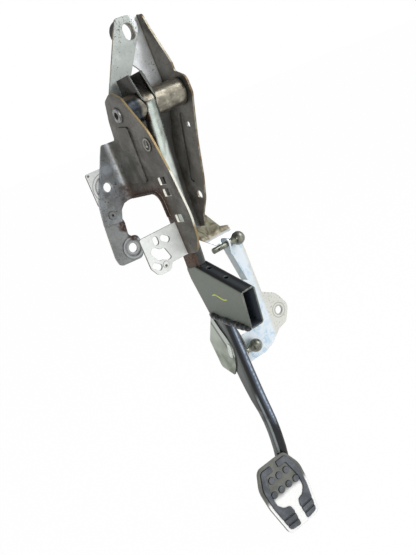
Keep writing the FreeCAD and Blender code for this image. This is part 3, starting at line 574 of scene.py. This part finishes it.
class PlatedBrackets(bpy.types.Operator):
    """Zinc on the upper ear, the small brackets and the forward brace, and the tab on the brace"""
    bl_idname = "brake_pedal.plated_brackets"
    bl_label = "Plated brackets"

    def execute(self, context):
        steel = context.scene.brake_pedal_steel

        def ear_top(look):
            specks = look.patches(0.0016, 0.56, 0.64, detail=2.0, shift=8.0)
            return look.both(specks, look.zone((30, 0, 66), (80, 40, 90), 0.012, 0.008))

        def lit_web(look):
            # Painted highlight: the web of the ear towards the right side is near white.
            look.cover(look.along("X", 57, 61, 0.002), shade(236, 240, 242))

        cut = worn_cut("Y", shade(176, 168, 146), mixed(steel.ochre, steel.rust, 0.3))
        ear = sheet_steel("Weathered zinc", steel.zinc, steel, speck=0.66, rough=(0.3, 0.48), contrast=0.6,
                          rusted=ear_top, areas=lit_web, grime_and_shade=0.45, edge_shade=0.4, edge_tone=cut)
        dress(ear, "upper_brace")

        def dimple(look):
            return look.either(look.spot((-24, -22, -131.5), 0.0018), look.spot((-31, 42, -39), 0.0016),
                               look.spot((-26, 42, -62), 0.002))

        def pressed_ring(look):
            look.cover(look.along("Y", 36, 38), shade(253, 254, 252), 0.85)
            # Painted shade: dark rings round the upper hole, at the edge of the pressing.
            ring_shade = look.rings(UPPER_FLANGE_HOLE, (0.0108, 0.0118), (0.0136, 0.0144))
            look.cover(ring_shade, shade(92, 94, 92), 0.6)

        cut = worn_cut("Y", shade(104, 102, 92), shade(74, 72, 64))
        plain = sheet_steel("Galvanised steel", steel.pale_zinc, steel, speck=0.7, contrast=0.4,
                            rough=(0.3, 0.46), metallic=0.2, rusted=dimple, grime_and_shade=0.5, areas=pressed_ring,
                            edge_shade=0.7, edge_tone=cut)
        dress(plain, "slotted_bracket", "bulkhead_plate")

        cut = worn_cut("X", shade(92, 96, 88), shade(66, 66, 58), rust_low=0.5)
        brace = sheet_steel("Plated brace steel", shade(150, 156, 144), steel, speck=0.74, contrast=0.5,
                            rough=(0.28, 0.45), areas=self.brace_shade, edge_shade=0.6, edge_tone=cut)
        dress(brace, "forward_brace")
        place_piece(self.brace_tab(), "pedal", self.tab_zinc())
        return {"FINISHED"}

    def brace_shade(self, look):
        """Light strip along the arm, a painted shadow along the fold beside it, and the greener metal below."""
        leaning = look.sums("SUBTRACT", look.axis("Y", 0.0003),
                            look.sums("MULTIPLY", look.axis("Z"), STRIP_LEAN))

        def border(low, high):
            """0 to 1 between two places across the strip, in millimetres at its middle."""
            places = [on_axis("Y", y) - STRIP_LEAN * on_axis("Z", STRIP_MIDDLE_Z) for y in (low, high)]
            return look.band(leaning, *places)

        green = look.blend(look.patches(0.012, 0.35, 0.65), shade(112, 118, 106), shade(150, 156, 144))
        body = look.blend(look.along("Z", -215, -262, 0.003), shade(176, 182, 172), green)
        # Painted shadow: a dark line where the strip steps down from the brace.
        fold = look.both(border(13.2, 14.6), border(19.0, 15.5))
        body = look.blend(fold, body, shade(66, 70, 62), 0.75)
        body = look.blend(border(14.5, 13.0), body, shade(180, 185, 178))
        look.cover(look.facing(LEFT, 0.3, 0.7), body)

    def tab_zinc(self):
        look = Finish("Plain tab zinc", 0.3)
        fine = look.noise(0.0012)
        look.colour = look.blend(look.band(fine, 0.4, 0.7), shade(216, 220, 214), shade(176, 180, 174))
        # Painted shade: the sloping border of the domed tab is darker than its top.
        rim_shading = look.facing(LEFT, 0.97, 0.7)
        look.cover(rim_shading, shade(84, 88, 82), 0.75)
        look.dent(fine, 0.00004)
        return look.finish(look.level(fine, 0.3, 0.5))

    def brace_tab(self):
        """Small domed tab, longer than wide, on the left face of the brace."""
        half_length, half_width, height, sunk = 8.4, 3.4, 0.55, 0.05
        points = 32
        lean = radians(16)
        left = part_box("forward_brace")[0][0]

        def squarish(value, power):
            return abs(value) ** power * (1 if value > 0 else -1)

        rings = []
        for narrowed, shortened, level in ((1.0, 1.0, 0.0), (1.0, 1.0, 0.6), (0.93, 0.97, 0.9), (0.8, 0.84, 1.0)):
            ring = []
            for k in range(points):
                turn = 2 * pi * k / points
                along = half_length * squarish(cos(turn), 0.6) * shortened
                side = half_width * squarish(sin(turn), 0.8) * narrowed
                place = at(0, TAB_MIDDLE.y + side * cos(lean) - along * sin(lean),
                           TAB_MIDDLE.z + side * sin(lean) + along * cos(lean))
                ring.append(Vector((left - (height * level - sunk) / 1000, place.y, place.z)))
            rings.append(ring)
        return ring_mesh("brace_tab", rings)


class SideBracket(bpy.types.Operator):
    """Bluish zinc on the right-hand bracket"""
    bl_idname = "brake_pedal.side_bracket"
    bl_label = "Side bracket"

    def execute(self, context):
        steel = context.scene.brake_pedal_steel
        look = Finish("Bluish zinc", 0.4, 0.0006)
        clouds = look.noise(0.012, detail=5.0, warp=0.8)
        fine = look.noise(0.002, shift=2.0)
        blue = mixed(steel.bright_zinc, shade(150, 200, 232), 0.6)
        look.colour = look.blend(look.band(clouds, 0.5, 0.7), steel.bright_zinc, blue)
        # Painted shade: a tan line along the fold.
        fold = look.along("Z", -151, -149, 0.0006)
        look.cover(fold, shade(118, 112, 100), 0.7)
        # Grey-tan over the gusset above the fold: partly its own tone, partly painted shade.
        gusset = look.along("Z", -148.5, -147, 0.0008, 0.006)
        gusset_tone_and_shade = look.blend(look.band(clouds, 0.42, 0.6), shade(150, 148, 128), shade(104, 92, 72))
        look.cover(gusset, gusset_tone_and_shade)
        mottle = look.blend(look.band(fine, 0.55, 0.72), shade(222, 222, 214), shade(150, 147, 136))
        look.cover(look.along("X", 97, 102, 0.002), mottle)
        # Painted shade: the faces that look left are greyer, except on the gusset.
        turned = look.both(look.facing(LEFT, 0.4, 0.8), look.rest(gusset))
        look.cover(turned, shade(138, 146, 144), 0.7)
        # Painted shade: dark rings round the eye of the ear.
        eye = look.rings(EAR_EYE, (0.0045, 0.0058), (0.0078, 0.0086))
        look.cover(eye, shade(112, 110, 100), 0.55)
        # Painted shade in corners.
        look.cover(look.crevice(0.006), darker(steel.zinc, 0.35), 0.4)
        look.dent(fine, 0.00005)
        dress(look.finish(look.level(clouds, 0.3, 0.5)), "side_bracket")
        return {"FINISHED"}


class PivotParts(bpy.types.Operator):
    """Bare steel on the pivot tube and pin, black on the bushes"""
    bl_idname = "brake_pedal.pivot_parts"
    bl_label = "Pivot"

    def execute(self, context):
        steel = context.scene.brake_pedal_steel
        tube = Finish("Bare pivot tube", 0.85, 0.0004)
        clouds = tube.noise(0.009, detail=5.0, warp=0.5, stretch=(0.5, 1, 1))
        bare = tube.blend(tube.band(clouds, 0.35, 0.65), shade(98, 94, 84), shade(156, 151, 136))
        scuffs = tube.patches(0.006, 0.56, 0.66, detail=4.0, shift=4.2)
        bare = tube.blend(scuffs, bare, shade(186, 182, 168), 0.5)
        top = tube.both(tube.facing((-0.1, 0.1, 0.98), 0.45, 0.95), tube.along("X", 52, 38, 0.004))
        brown = tube.both(top, tube.level(tube.band(clouds, 0.34, 0.6), 0.3, 0.8))
        tube.colour = tube.blend(brown, bare, mixed(steel.rust, shade(146, 116, 90), 0.4))
        # Painted shade with a painted bluish sheen: the lower rear side of the tube's left end is dark bluish grey.
        underside_shade = tube.both(tube.along("X", 20, 16, 0.002), tube.facing((0, -0.6, -0.8), -0.5, 0.1))
        shade_and_sheen = tube.blend(tube.patches(0.005, 0.4, 0.62, detail=4.0), shade(38, 42, 46), shade(66, 74, 82))
        tube.cover(underside_shade, shade_and_sheen)
        # Painted shade in corners round the tube.
        tube.cover(tube.crevice(0.005), shade(30, 26, 22), 0.75)
        tube.dent(tube.noise(0.0016), 0.00007)
        dress(tube.finish(tube.level(brown, 0.3, 0.62)), "hub_tube")

        pin = Finish("Dull pin steel", 0.8, 0.0004)
        pin.colour = pin.blend(pin.patches(0.004, 0.35, 0.65, detail=4.0), shade(92, 92, 90), shade(150, 152, 150))
        pin.dent(pin.noise(0.001), 0.00004)
        dress(pin.finish(pin.level(pin.noise(0.003), 0.25, 0.5)), "pivot_pin", "pivot_sleeve", "ear_sleeve")

        bush = Finish("Black bush", 0.0, 0.0004)
        bush.colour = bush.blend(bush.noise(0.004), shade(24, 24, 25), shade(46, 45, 45))
        bush.dent(bush.noise(0.0008), 0.00005)
        dress(bush.finish(bush.level(bush.noise(0.003), 0.42, 0.62)), "ear_bush", "left_bush", "right_bush")
        return {"FINISHED"}


class UpperArm(bpy.types.Operator):
    """Worn zinc, oil and black paint on the folded arm"""
    bl_idname = "brake_pedal.upper_arm"
    bl_label = "Upper arm"

    def execute(self, context):
        arm = context.scene.brake_pedal_arm
        steel = context.scene.brake_pedal_steel
        look = Finish("Worn arm zinc", 0.8, 0.0022, Coat_Weight=0.2)
        clouds = look.noise(0.010, detail=5.0, warp=0.7, stretch=(1, 1, 0.45))
        fine = look.noise(0.0022)
        oil_and_shade = look.blend(look.band(clouds, 0.4, 0.7), darker(arm.oil, 0.5), shade(46, 35, 29))
        # Painted shade: the flange faces that look left are darker.
        oil_and_shade = look.blend(look.facing(LEFT, 0.4, 0.8), oil_and_shade, shade(24, 18, 15), 0.6)
        look.colour = look.blend(look.facing(REAR, 0.15, 0.5), oil_and_shade, self.web(look, arm, clouds))
        lip = look.blend(look.facing(REAR, 0.9, 0.98), oil_and_shade, darker(arm.web, 0.5), 0.6)
        look.cover(look.along("Z", -1, 2, 0.001), lip)
        paint = look.along("Z", -134, -140, 0.004)
        black = look.blend(look.band(clouds, 0.4, 0.7), arm.gloss, darker(arm.satin, 0.36))
        look.cover(paint, black)
        rusty = look.both(look.zone((15, 8, -158), (24, 40, -142), 0.006, 0.005), look.facing(LEFT, 0.2, 0.6))
        flaky = look.blend(look.band(fine, 0.4, 0.6), darker(steel.rust, 0.4), shade(88, 60, 40))
        look.cover(look.both(rusty, look.level(look.band(fine, 0.3, 0.5), 0.75, 1.0)), flaky)
        # Oil and painted shade in corners.
        look.cover(look.crevice(0.006), darker(arm.oil, 0.5), 0.6)
        look.dent(self.crown(look), 0.0016)
        look.dent(fine, 0.00008)
        look.put("Metallic", look.level(look.either(paint, rusty), 0.8, 0.0))
        gloss = look.level(look.band(clouds, 0.3, 0.7), 0.2, 0.38)
        dress(look.finish(look.either(gloss, look.level(rusty, 0.0, 0.8))), "pedal_arm")
        return {"FINISHED"}

    def web(self, look, arm, clouds):
        """Zinc between the flanges: stained on its left, with a painted highlight down the middle and painted shade
        on its right.
        """
        tone = look.blend(look.band(clouds, 0.36, 0.66), darker(arm.web, 0.55),
                          mixed(arm.web, (0.92, 0.97, 0.93), 0.4))
        stain = look.both(look.patches(0.012, 0.47, 0.56, detail=4.0, shift=9.0),
                          look.along("X", 24.5, 22.5, 0.0015))
        tone = look.blend(look.level(stain, 0.0, 0.85), tone, shade(120, 74, 60))
        # Painted highlight: a near-white stripe left of the middle.
        bright = look.both(look.stripe("X", 22.5, 25, 26.5, 29.5, 0.0012),
                           look.level(look.band(clouds, 0.3, 0.6), 0.5, 0.95))
        tone = look.blend(bright, tone, shade(222, 234, 226))
        red_line = look.both(look.ring((33.6, 0, -50), 0.0, 0.045), look.along("X", 33.0, 33.8, 0.0006))
        tone = look.blend(red_line, tone, shade(140, 96, 84), 0.7)
        tone = look.blend(look.along("X", 22.6, 21.2, 0.0006), tone, shade(62, 46, 40), 0.8)
        # Painted shade: the right of the web is dimmer.
        return look.blend(look.along("X", 30, 33, 0.001), tone, shade(96, 100, 100), 0.6)

    def crown(self, look):
        """1 along the middle of the web, down to 0 at its folds."""
        half_width = 7.5
        away = look.sums("SUBTRACT", look.axis("X"), on_axis("X", WEB_MIDDLE_X))
        share = look.sums("MULTIPLY", away, 1000 / half_width)
        return look.rest(look.both(share, share))


class LowerArm(bpy.types.Operator):
    """Gloss black paint on the swept tube"""
    bl_idname = "brake_pedal.lower_arm"
    bl_label = "Lower arm"

    def execute(self, context):
        arm = context.scene.brake_pedal_arm
        look = Finish("Gloss black paint", 0.0, 0.0042, Specular_IOR_Level=0.3)
        clouds = look.noise(0.03, detail=4.0)
        peel = look.noise(0.0024, detail=2.0)
        look.colour = look.blend(look.band(clouds, 0.35, 0.7), darker(arm.gloss, 0.5), darker(arm.gloss, 0.95))
        # Painted sheen: the faces that look left are grey, fading out towards the crease.
        dust_and_sheen = look.both(look.facing(LEFT, 0.55, 0.9), look.along("Z", -330, -250, 0.004))
        look.cover(dust_and_sheen, shade(104, 108, 106), 0.75)
        # Painted highlight: a bluish streak with a pale centre down the rear face, above the crease.
        rear = look.both(look.facing(REAR, 0.5, 0.9), look.along("Z", -336, -322, 0.004))
        broad_highlight = look.both(rear, look.stripe("X", 25.6, 28.0, 31.5, 33.0, 0.0004, 0.02))
        look.cover(broad_highlight, shade(92, 104, 120), 0.55)
        grainy = look.level(look.band(peel, 0.35, 0.6), 0.35, 1.0)
        highlight_core = look.both(rear, look.stripe("X", 28.2, 29.2, 30.2, 31.2, 0.0004, 0.02))
        look.cover(look.both(highlight_core, look.both(grainy, 0.8)), shade(176, 190, 208))
        # Painted sheen: the faces that look left are grey below the crease.
        flank_sheen = look.both(look.facing(LEFT, 0.4, 0.8), look.along("Z", -318, -336, 0.003))
        look.cover(flank_sheen, shade(98, 102, 102), 0.6)
        # Painted highlight: a pale line along the front left corner, lower down the tube.
        corner = look.both(look.facing(ARM_CORNER, 0.94, 0.985), look.along("Z", -292, -306, 0.003))
        look.cover(corner, shade(160, 166, 166), 0.6)
        chips = look.patches(0.0022, 0.72, 0.75, shift=4.0)
        look.cover(look.level(chips, 0.0, 0.5), shade(140, 146, 156))
        above = self.above_crease(look)
        # Painted highlight along the crease on the rear face.
        crease_highlight = look.both(above, look.rest(above), look.facing(REAR, 0.2, 0.7))
        look.cover(crease_highlight, shade(96, 104, 114), 1.6)
        # Painted shade: dark just below the crease, left of the middle.
        below = look.both(look.rest(above), look.along("X", 24, 26.5, 0.0006), look.along("Z", -322, -334, 0.002))
        look.cover(below, shade(20, 21, 24), 0.6)
        look.dent(above, 0.0022)
        look.dent(peel, 0.00008)
        dress(look.finish(look.level(look.band(clouds, 0.3, 0.7), 0.14, 0.26)), "lower_arm")
        return {"FINISHED"}

    def above_crease(self, look):
        """1 above the slanting line where the tube is pinched, 0 below it."""
        soft = 0.004
        slant = look.sums("ADD", look.axis("Z"), look.sums("MULTIPLY", look.axis("X"), CREASE_LEAN))
        crease = on_axis("X", CREASE_X) * CREASE_LEAN + on_axis("Z", CREASE_Z)
        return look.band(slant, crease - soft, crease + soft)


class ExtensionBox(bpy.types.Operator):
    """Satin black paint, weld beads and a pen mark on the extension box"""
    bl_idname = "brake_pedal.extension_box"
    bl_label = "Extension box"

    def execute(self, context):
        arm = context.scene.brake_pedal_arm
        dress(self.satin_paint(arm), "extension_box")
        black = self.weld_paint(arm)
        beads = (
            ("weld_box_left", 1.4, ((20.3, 23, -205.4), (20.2, 4, -209.4), (20.2, -12, -212.0), (20.2, -40, -216.6))),
            ("weld_box_right", 1.0, ((35.5, 24, -206.0), (35.7, 4, -210.0), (35.7, -20, -213.8))),
            ("weld_box_top", 1.0, ((22.4, 15.5, -153.6), (28.0, 15.2, -153.4), (33.6, 15.5, -153.6))),
        )
        for seed, (name, share, corners) in enumerate(beads, start=3):
            bead = weld_bead(name, [at(*corner) for corner in corners], arm.bead_width * share, seed)
            place_piece(bead, "pedal", black)
        self.pen_mark(arm)
        return {"FINISHED"}

    def satin_paint(self, arm):
        look = Finish("Satin black paint", 0.0, 0.0006, Specular_IOR_Level=0.4)
        clouds = look.noise(0.025, detail=5.0, warp=0.4)
        fine = look.noise(0.0018)
        dust_and_sheen = mixed(arm.satin, shade(130, 128, 120), 0.35)
        look.colour = look.blend(look.band(clouds, 0.35, 0.7), arm.satin, dust_and_sheen)
        look.cover(look.level(look.band(fine, 0.45, 0.8), 0.0, 0.5), darker(arm.satin, 0.5))
        # Painted shade: the top faces are near black.
        above = look.facing(BOX_TOP, 0.4, 0.8)
        look.cover(above, darker(arm.gloss, 0.8))
        # Painted sheen: a lighter bluish stripe along the middle of the top.
        top_sheen = look.both(above, look.stripe("X", 24, 26, 28.5, 31, 0.0006))
        look.cover(top_sheen, shade(66, 72, 78), 0.45)
        look.cover(look.along("Z", -176, -212, 0.006), shade(48, 50, 48), 0.4)
        chipped = look.both(look.edges(0.0008), look.patches(0.004, 0.44, 0.52, shift=2.0))
        chipped = look.both(chipped, look.level(look.along("Y", -44, -47), 0.3, 1.0))
        look.cover(chipped, shade(188, 188, 182))
        # Painted shade inside the box, where the ambient occlusion is deep.
        deep = look.both(look.zone((21.4, -60, -218), (34.8, 16, -158), 0.0004), look.crevice(0.03, 0.6, 0.95))
        look.cover(deep, shade(70, 76, 84))
        look.dent(fine, 0.00007)
        return look.finish(look.level(look.band(clouds, 0.3, 0.7), 0.3, 0.48))

    def weld_paint(self, arm):
        look = Finish("Painted weld", 0.0, Specular_IOR_Level=0.4)
        greyer = mixed(arm.gloss, (0.4, 0.4, 0.42), 0.12)
        look.colour = look.blend(look.patches(0.003, 0.4, 0.7), darker(arm.gloss, 0.6), greyer)
        look.dent(look.noise(0.0012), 0.00012)
        return look.finish(look.level(look.noise(0.002), 0.16, 0.34))

    def pen_mark(self, arm):
        """Plain curved stroke of a paint pen on the left face."""
        look = Finish("Yellow pen", 0.0)
        grain = look.noise(0.002)
        look.colour = look.blend(grain, darker(arm.mark, 0.8), arm.mark)
        material = look.finish(look.level(grain, 0.5, 0.7))
        steps = 60
        first_y, first_z, run, drop, sway = 4.0, -184.5, 24.0, 3.0, 1.5
        half_width, thick = 0.6, Vector((0.08, 0, 0))
        rings = []
        for i in range(steps + 1):
            t = i / steps
            turn = t * 2 * pi
            middle = Vector((BOX_FACE_X, first_y - run * t, first_z - drop * t + sway * sin(turn)))
            slope = Vector((0.0, -run, -drop + sway * 2 * pi * cos(turn))).normalized()
            taper = min(1.0, 0.35 + 6 * min(t, 1 - t))
            side = slope.cross(Vector((1, 0, 0))) * (half_width * taper)
            corners = (middle + side - thick, middle + side + thick, middle - side + thick, middle - side - thick)
            rings.append([PIVOT + corner / 1000 for corner in corners])
        place_piece(ring_mesh("pen_mark", rings), "pedal", material)


class BallPins(bpy.types.Operator):
    """Dark turned steel on the two ball pins"""
    bl_idname = "brake_pedal.ball_pins"
    bl_label = "Ball pins"

    def execute(self, context):
        look = Finish("Dark turned steel", 0.8, 0.0003)
        clouds = look.noise(0.006, detail=4.0)
        look.colour = look.blend(look.band(clouds, 0.35, 0.65), shade(92, 93, 84), shade(150, 152, 140))
        turned = look.noise(0.0009, detail=1.0, stretch=(1, 0.02, 0.02))
        look.dent(turned, 0.00003)
        dress(look.finish(look.level(clouds, 0.24, 0.42)), "upper_ball_pin", "lower_ball_pin")
        return {"FINISHED"}


class PedalPad(bpy.types.Operator):
    """Brushed cover, worn rubber and painted plate of the pad"""
    bl_idname = "brake_pedal.pedal_pad"
    bl_label = "Pedal pad"

    def execute(self, context):
        pad = context.scene.brake_pedal_pad
        arm = context.scene.brake_pedal_arm
        dress(self.brushed_metal(pad), "pad_cover")
        dress(self.worn_rubber(pad), "pad_rubber")
        dress(self.plate_paint(arm), "pad_plate")
        return {"FINISHED"}

    def brushed_metal(self, pad):
        """Dull metal with fine lines across, and a painted white reflection over its lower half."""
        look = Finish("Brushed pad cover", 0.85, 0.0005)
        brush = look.noise(0.0006, stretch=(0.12, 1, 1))
        clouds = look.noise(0.02, detail=4.0)
        # Painted reflection: the lower half of the cover is near white and less metallic.
        low = look.along("Z", -389, -396, 0.002)
        look.colour = look.blend(look.band(clouds, 0.3, 0.7), darker(pad.cover, 0.6), pad.cover)
        look.cover(low, shade(252, 252, 249))
        lines = look.both(look.band(brush, 0.4, 0.7), look.level(low, 0.25, 0.05))
        look.cover(lines, darker(pad.cover, 0.55))
        # Painted shade: the sides of the cover are darker than its face.
        side = look.blend(look.noise(0.003, detail=4.0), shade(58, 58, 54), shade(120, 119, 110))
        look.colour = look.blend(look.facing(PAD_FACE, 0.75, 0.93), side, look.colour)
        # Painted shade in the gaps round the rubber, and a dark line along the cover's edges.
        gap = look.either(look.crevice(0.0026, 0.5, 0.9), look.both(look.edges(0.0006), 0.6))
        look.cover(gap, shade(40, 40, 37), 0.8)
        look.dent(brush, 0.00003)
        look.put("Metallic", look.level(low, 0.85, 0.3))
        return look.finish(look.level(clouds, 0.26, 0.4))

    def worn_rubber(self, pad):
        look = Finish("Worn rubber", 0.0, 0.0005)
        grain = look.noise(0.0009)
        look.colour = look.blend(look.patches(0.012, 0.35, 0.65, detail=4.0), darker(pad.rubber, 0.78),
                                 mixed(pad.rubber, (0.6, 0.62, 0.66), 0.08))
        # Painted shade: dark in the hollows and along the edges of the rubber.
        look.cover(look.crevice(0.003, 0.5, 0.95), shade(20, 21, 23), 0.9)
        look.cover(look.edges(0.0007), shade(16, 17, 19), 0.8)
        look.dent(grain, 0.00012)
        return look.finish(look.level(grain, 0.45, 0.68))

    def plate_paint(self, arm):
        look = Finish("Painted pad plate", 0.0, 0.0005)
        look.colour = look.blend(look.noise(0.01, detail=4.0), darker(arm.satin, 0.16), darker(arm.satin, 0.34))
        look.dent(look.noise(0.0015), 0.00006)
        return look.finish(look.level(look.noise(0.006), 0.35, 0.55))


class Stage(bpy.types.Operator):
    """Pale floor, soft lights and the camera"""
    bl_idname = "brake_pedal.stage"
    bl_label = "Stage"

    def execute(self, context):
        settings = context.scene.brake_pedal_stage
        self.floor(settings)
        self.sky(context, settings)
        self.light("Key light", (0.95, -0.75, 0.85), 0.9, settings.key_level)
        self.light("Fill light", (-1.1, -0.8, 0.35), 0.4, settings.fill_level)
        self.camera(context, settings)
        return {"FINISHED"}

    def seen(self, tree):
        """1 for what the camera sees, straight or in a reflection."""
        path = add_node(tree, "LightPath").outputs
        value = path["Is Camera Ray"]
        for name in ("Is Glossy Ray", "Is Transmission Ray"):
            value = add_node(tree, "Math", {0: value, 1: path[name]}, operation="MAXIMUM").outputs[0]
        return value

    def floor(self, settings):
        """Matt plane just under the object, which glows in the background's colour where it is seen."""
        size, gap, glow_share = 40.0, 0.0005, 0.98
        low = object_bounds()[0]
        bpy.ops.mesh.primitive_plane_add(size=size, location=(0.05, 0.0, low[2] - gap))
        plane = bpy.context.object
        plane.name = "floor"
        material = bpy.data.materials.new("Pale floor")
        material.use_nodes = True
        tree = material.node_tree
        matt = tree.nodes["Principled BSDF"]
        matt.inputs["Base Color"].default_value = (0.9, 0.9, 0.9, 1.0)
        matt.inputs["Roughness"].default_value = 0.9
        matt.inputs["Specular IOR Level"].default_value = 0.0
        glow = add_node(tree, "Emission", {"Color": rgba(settings.background)})
        share = add_node(tree, "Math", {0: self.seen(tree), 1: glow_share}, operation="MULTIPLY")
        both = add_node(tree, "MixShader", {0: share.outputs[0], 1: matt.outputs[0], 2: glow.outputs[0]})
        tree.links.new(both.outputs[0], tree.nodes["Material Output"].inputs["Surface"])
        plane.data.materials.append(material)
        plane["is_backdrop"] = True

    def sky(self, context, settings):
        world = bpy.data.worlds.new("Soft sky")
        world.use_nodes = True
        context.scene.world = world
        tree = world.node_tree
        tree.nodes.clear()
        light = add_node(tree, "Background", {
            "Color": (0.95, 0.98, 1.0, 1.0), "Strength": settings.sky_level})
        seen = add_node(tree, "Background", {"Color": self.backdrop(tree, settings)})
        both = add_node(tree, "MixShader", {0: self.seen(tree), 1: light.outputs[0], 2: seen.outputs[0]})
        add_node(tree, "OutputWorld", {"Surface": both.outputs[0]})

    def backdrop(self, tree, settings):
        """White to the camera; in reflections it darkens towards the ceiling."""
        ceiling = (0.2, 0.21, 0.22, 1.0)
        place = add_node(tree, "TexCoord").outputs["Generated"]
        up = add_node(tree, "SeparateXYZ", {0: place}).outputs["Z"]
        height = add_node(tree, "MapRange", {
            "Value": up, "From Min": 0.1, "From Max": 0.75}, interpolation_type="SMOOTHSTEP").outputs[0]
        straight = add_node(tree, "LightPath").outputs["Is Camera Ray"]
        mirrored = add_node(tree, "Math", {0: 1.0, 1: straight}, operation="SUBTRACT").outputs[0]
        share = add_node(tree, "Math", {0: height, 1: mirrored}, operation="MULTIPLY").outputs[0]
        tones = {0: share, 6: rgba(settings.background), 7: ceiling}
        return add_node(tree, "Mix", tones, data_type="RGBA").outputs[2]

    def light(self, name, offset, size, power):
        """Square lamp, placed in metres from the middle of the object and turned to it."""
        target = at(*CAMERA_TARGET)
        data = bpy.data.lights.new(name, "AREA")
        data.shape = "SQUARE"
        data.size = size
        data.energy = power
        lamp = bpy.data.objects.new(name, data)
        lamp.location = target + Vector(offset)
        lamp.rotation_euler = (target - lamp.location).to_track_quat("-Z", "Y").to_euler()
        bpy.context.scene.collection.objects.link(lamp)

    def camera(self, context, settings):
        azimuth, elevation, roll = radians(-28.2), radians(14.3), radians(22.3)
        back = Vector((sin(azimuth) * cos(elevation), -cos(azimuth) * cos(elevation), sin(elevation)))
        right = (-back).cross(Vector((0, 0, 1))).normalized()
        down = (-back).cross(right)
        image_right = cos(roll) * right + sin(roll) * down
        image_down = -sin(roll) * right + cos(roll) * down
        turn = Matrix((image_right, -image_down, back)).transposed().to_4x4()
        data = bpy.data.cameras.new("Camera")
        data.sensor_width = 36.0
        data.lens = settings.focal
        data.clip_start = 0.01
        camera = bpy.data.objects.new("Camera", data)
        camera.matrix_world = Matrix.Translation(at(*CAMERA)) @ turn
        context.scene.collection.objects.link(camera)
        context.scene.camera = camera
        context.scene.view_settings.view_transform = "Standard"


class PedalPanel(bpy.types.Panel):
    """Settings and steps of the brake pedal"""
    bl_idname = "VIEW3D_PT_brake_pedal"
    bl_label = "Brake pedal"
    bl_space_type = "VIEW_3D"
    bl_region_type = "UI"
    bl_category = "Brake pedal"

    def draw(self, context):
        for group in SETTINGS:
            settings = getattr(context.scene, group)
            box = self.layout.box()
            for name in settings.__annotations__:
                box.prop(settings, name)
        for step in STEPS:
            self.layout.operator(step.bl_idname)


SETTINGS = {
    "brake_pedal_steel": SteelSettings,
    "brake_pedal_arm": ArmSettings,
    "brake_pedal_pad": PadSettings,
    "brake_pedal_stage": StageSettings,
}
STEPS = (SidePlates, BulkheadFlange, PlatedBrackets, SideBracket, PivotParts, UpperArm, LowerArm, ExtensionBox,
         BallPins, PedalPad, Stage)


def register():
    for kind in tuple(SETTINGS.values()) + STEPS + (PedalPanel,):
        bpy.utils.register_class(kind)
    for group, kind in SETTINGS.items():
        setattr(bpy.types.Scene, group, bpy.props.PointerProperty(type=kind))


def unregister():
    for group in SETTINGS:
        delattr(bpy.types.Scene, group)
    for kind in (PedalPanel,) + STEPS[::-1] + tuple(SETTINGS.values())[::-1]:
        bpy.utils.unregister_class(kind)


def main():
    register()
    bpy.ops.brake_pedal.side_plates()
    bpy.ops.brake_pedal.bulkhead_flange()
    bpy.ops.brake_pedal.plated_brackets()
    bpy.ops.brake_pedal.side_bracket()
    bpy.ops.brake_pedal.pivot_parts()
    bpy.ops.brake_pedal.upper_arm()
    bpy.ops.brake_pedal.lower_arm()
    bpy.ops.brake_pedal.extension_box()
    bpy.ops.brake_pedal.ball_pins()
    bpy.ops.brake_pedal.pedal_pad()
    bpy.ops.brake_pedal.stage()


if __name__ == "__main__":
    main()
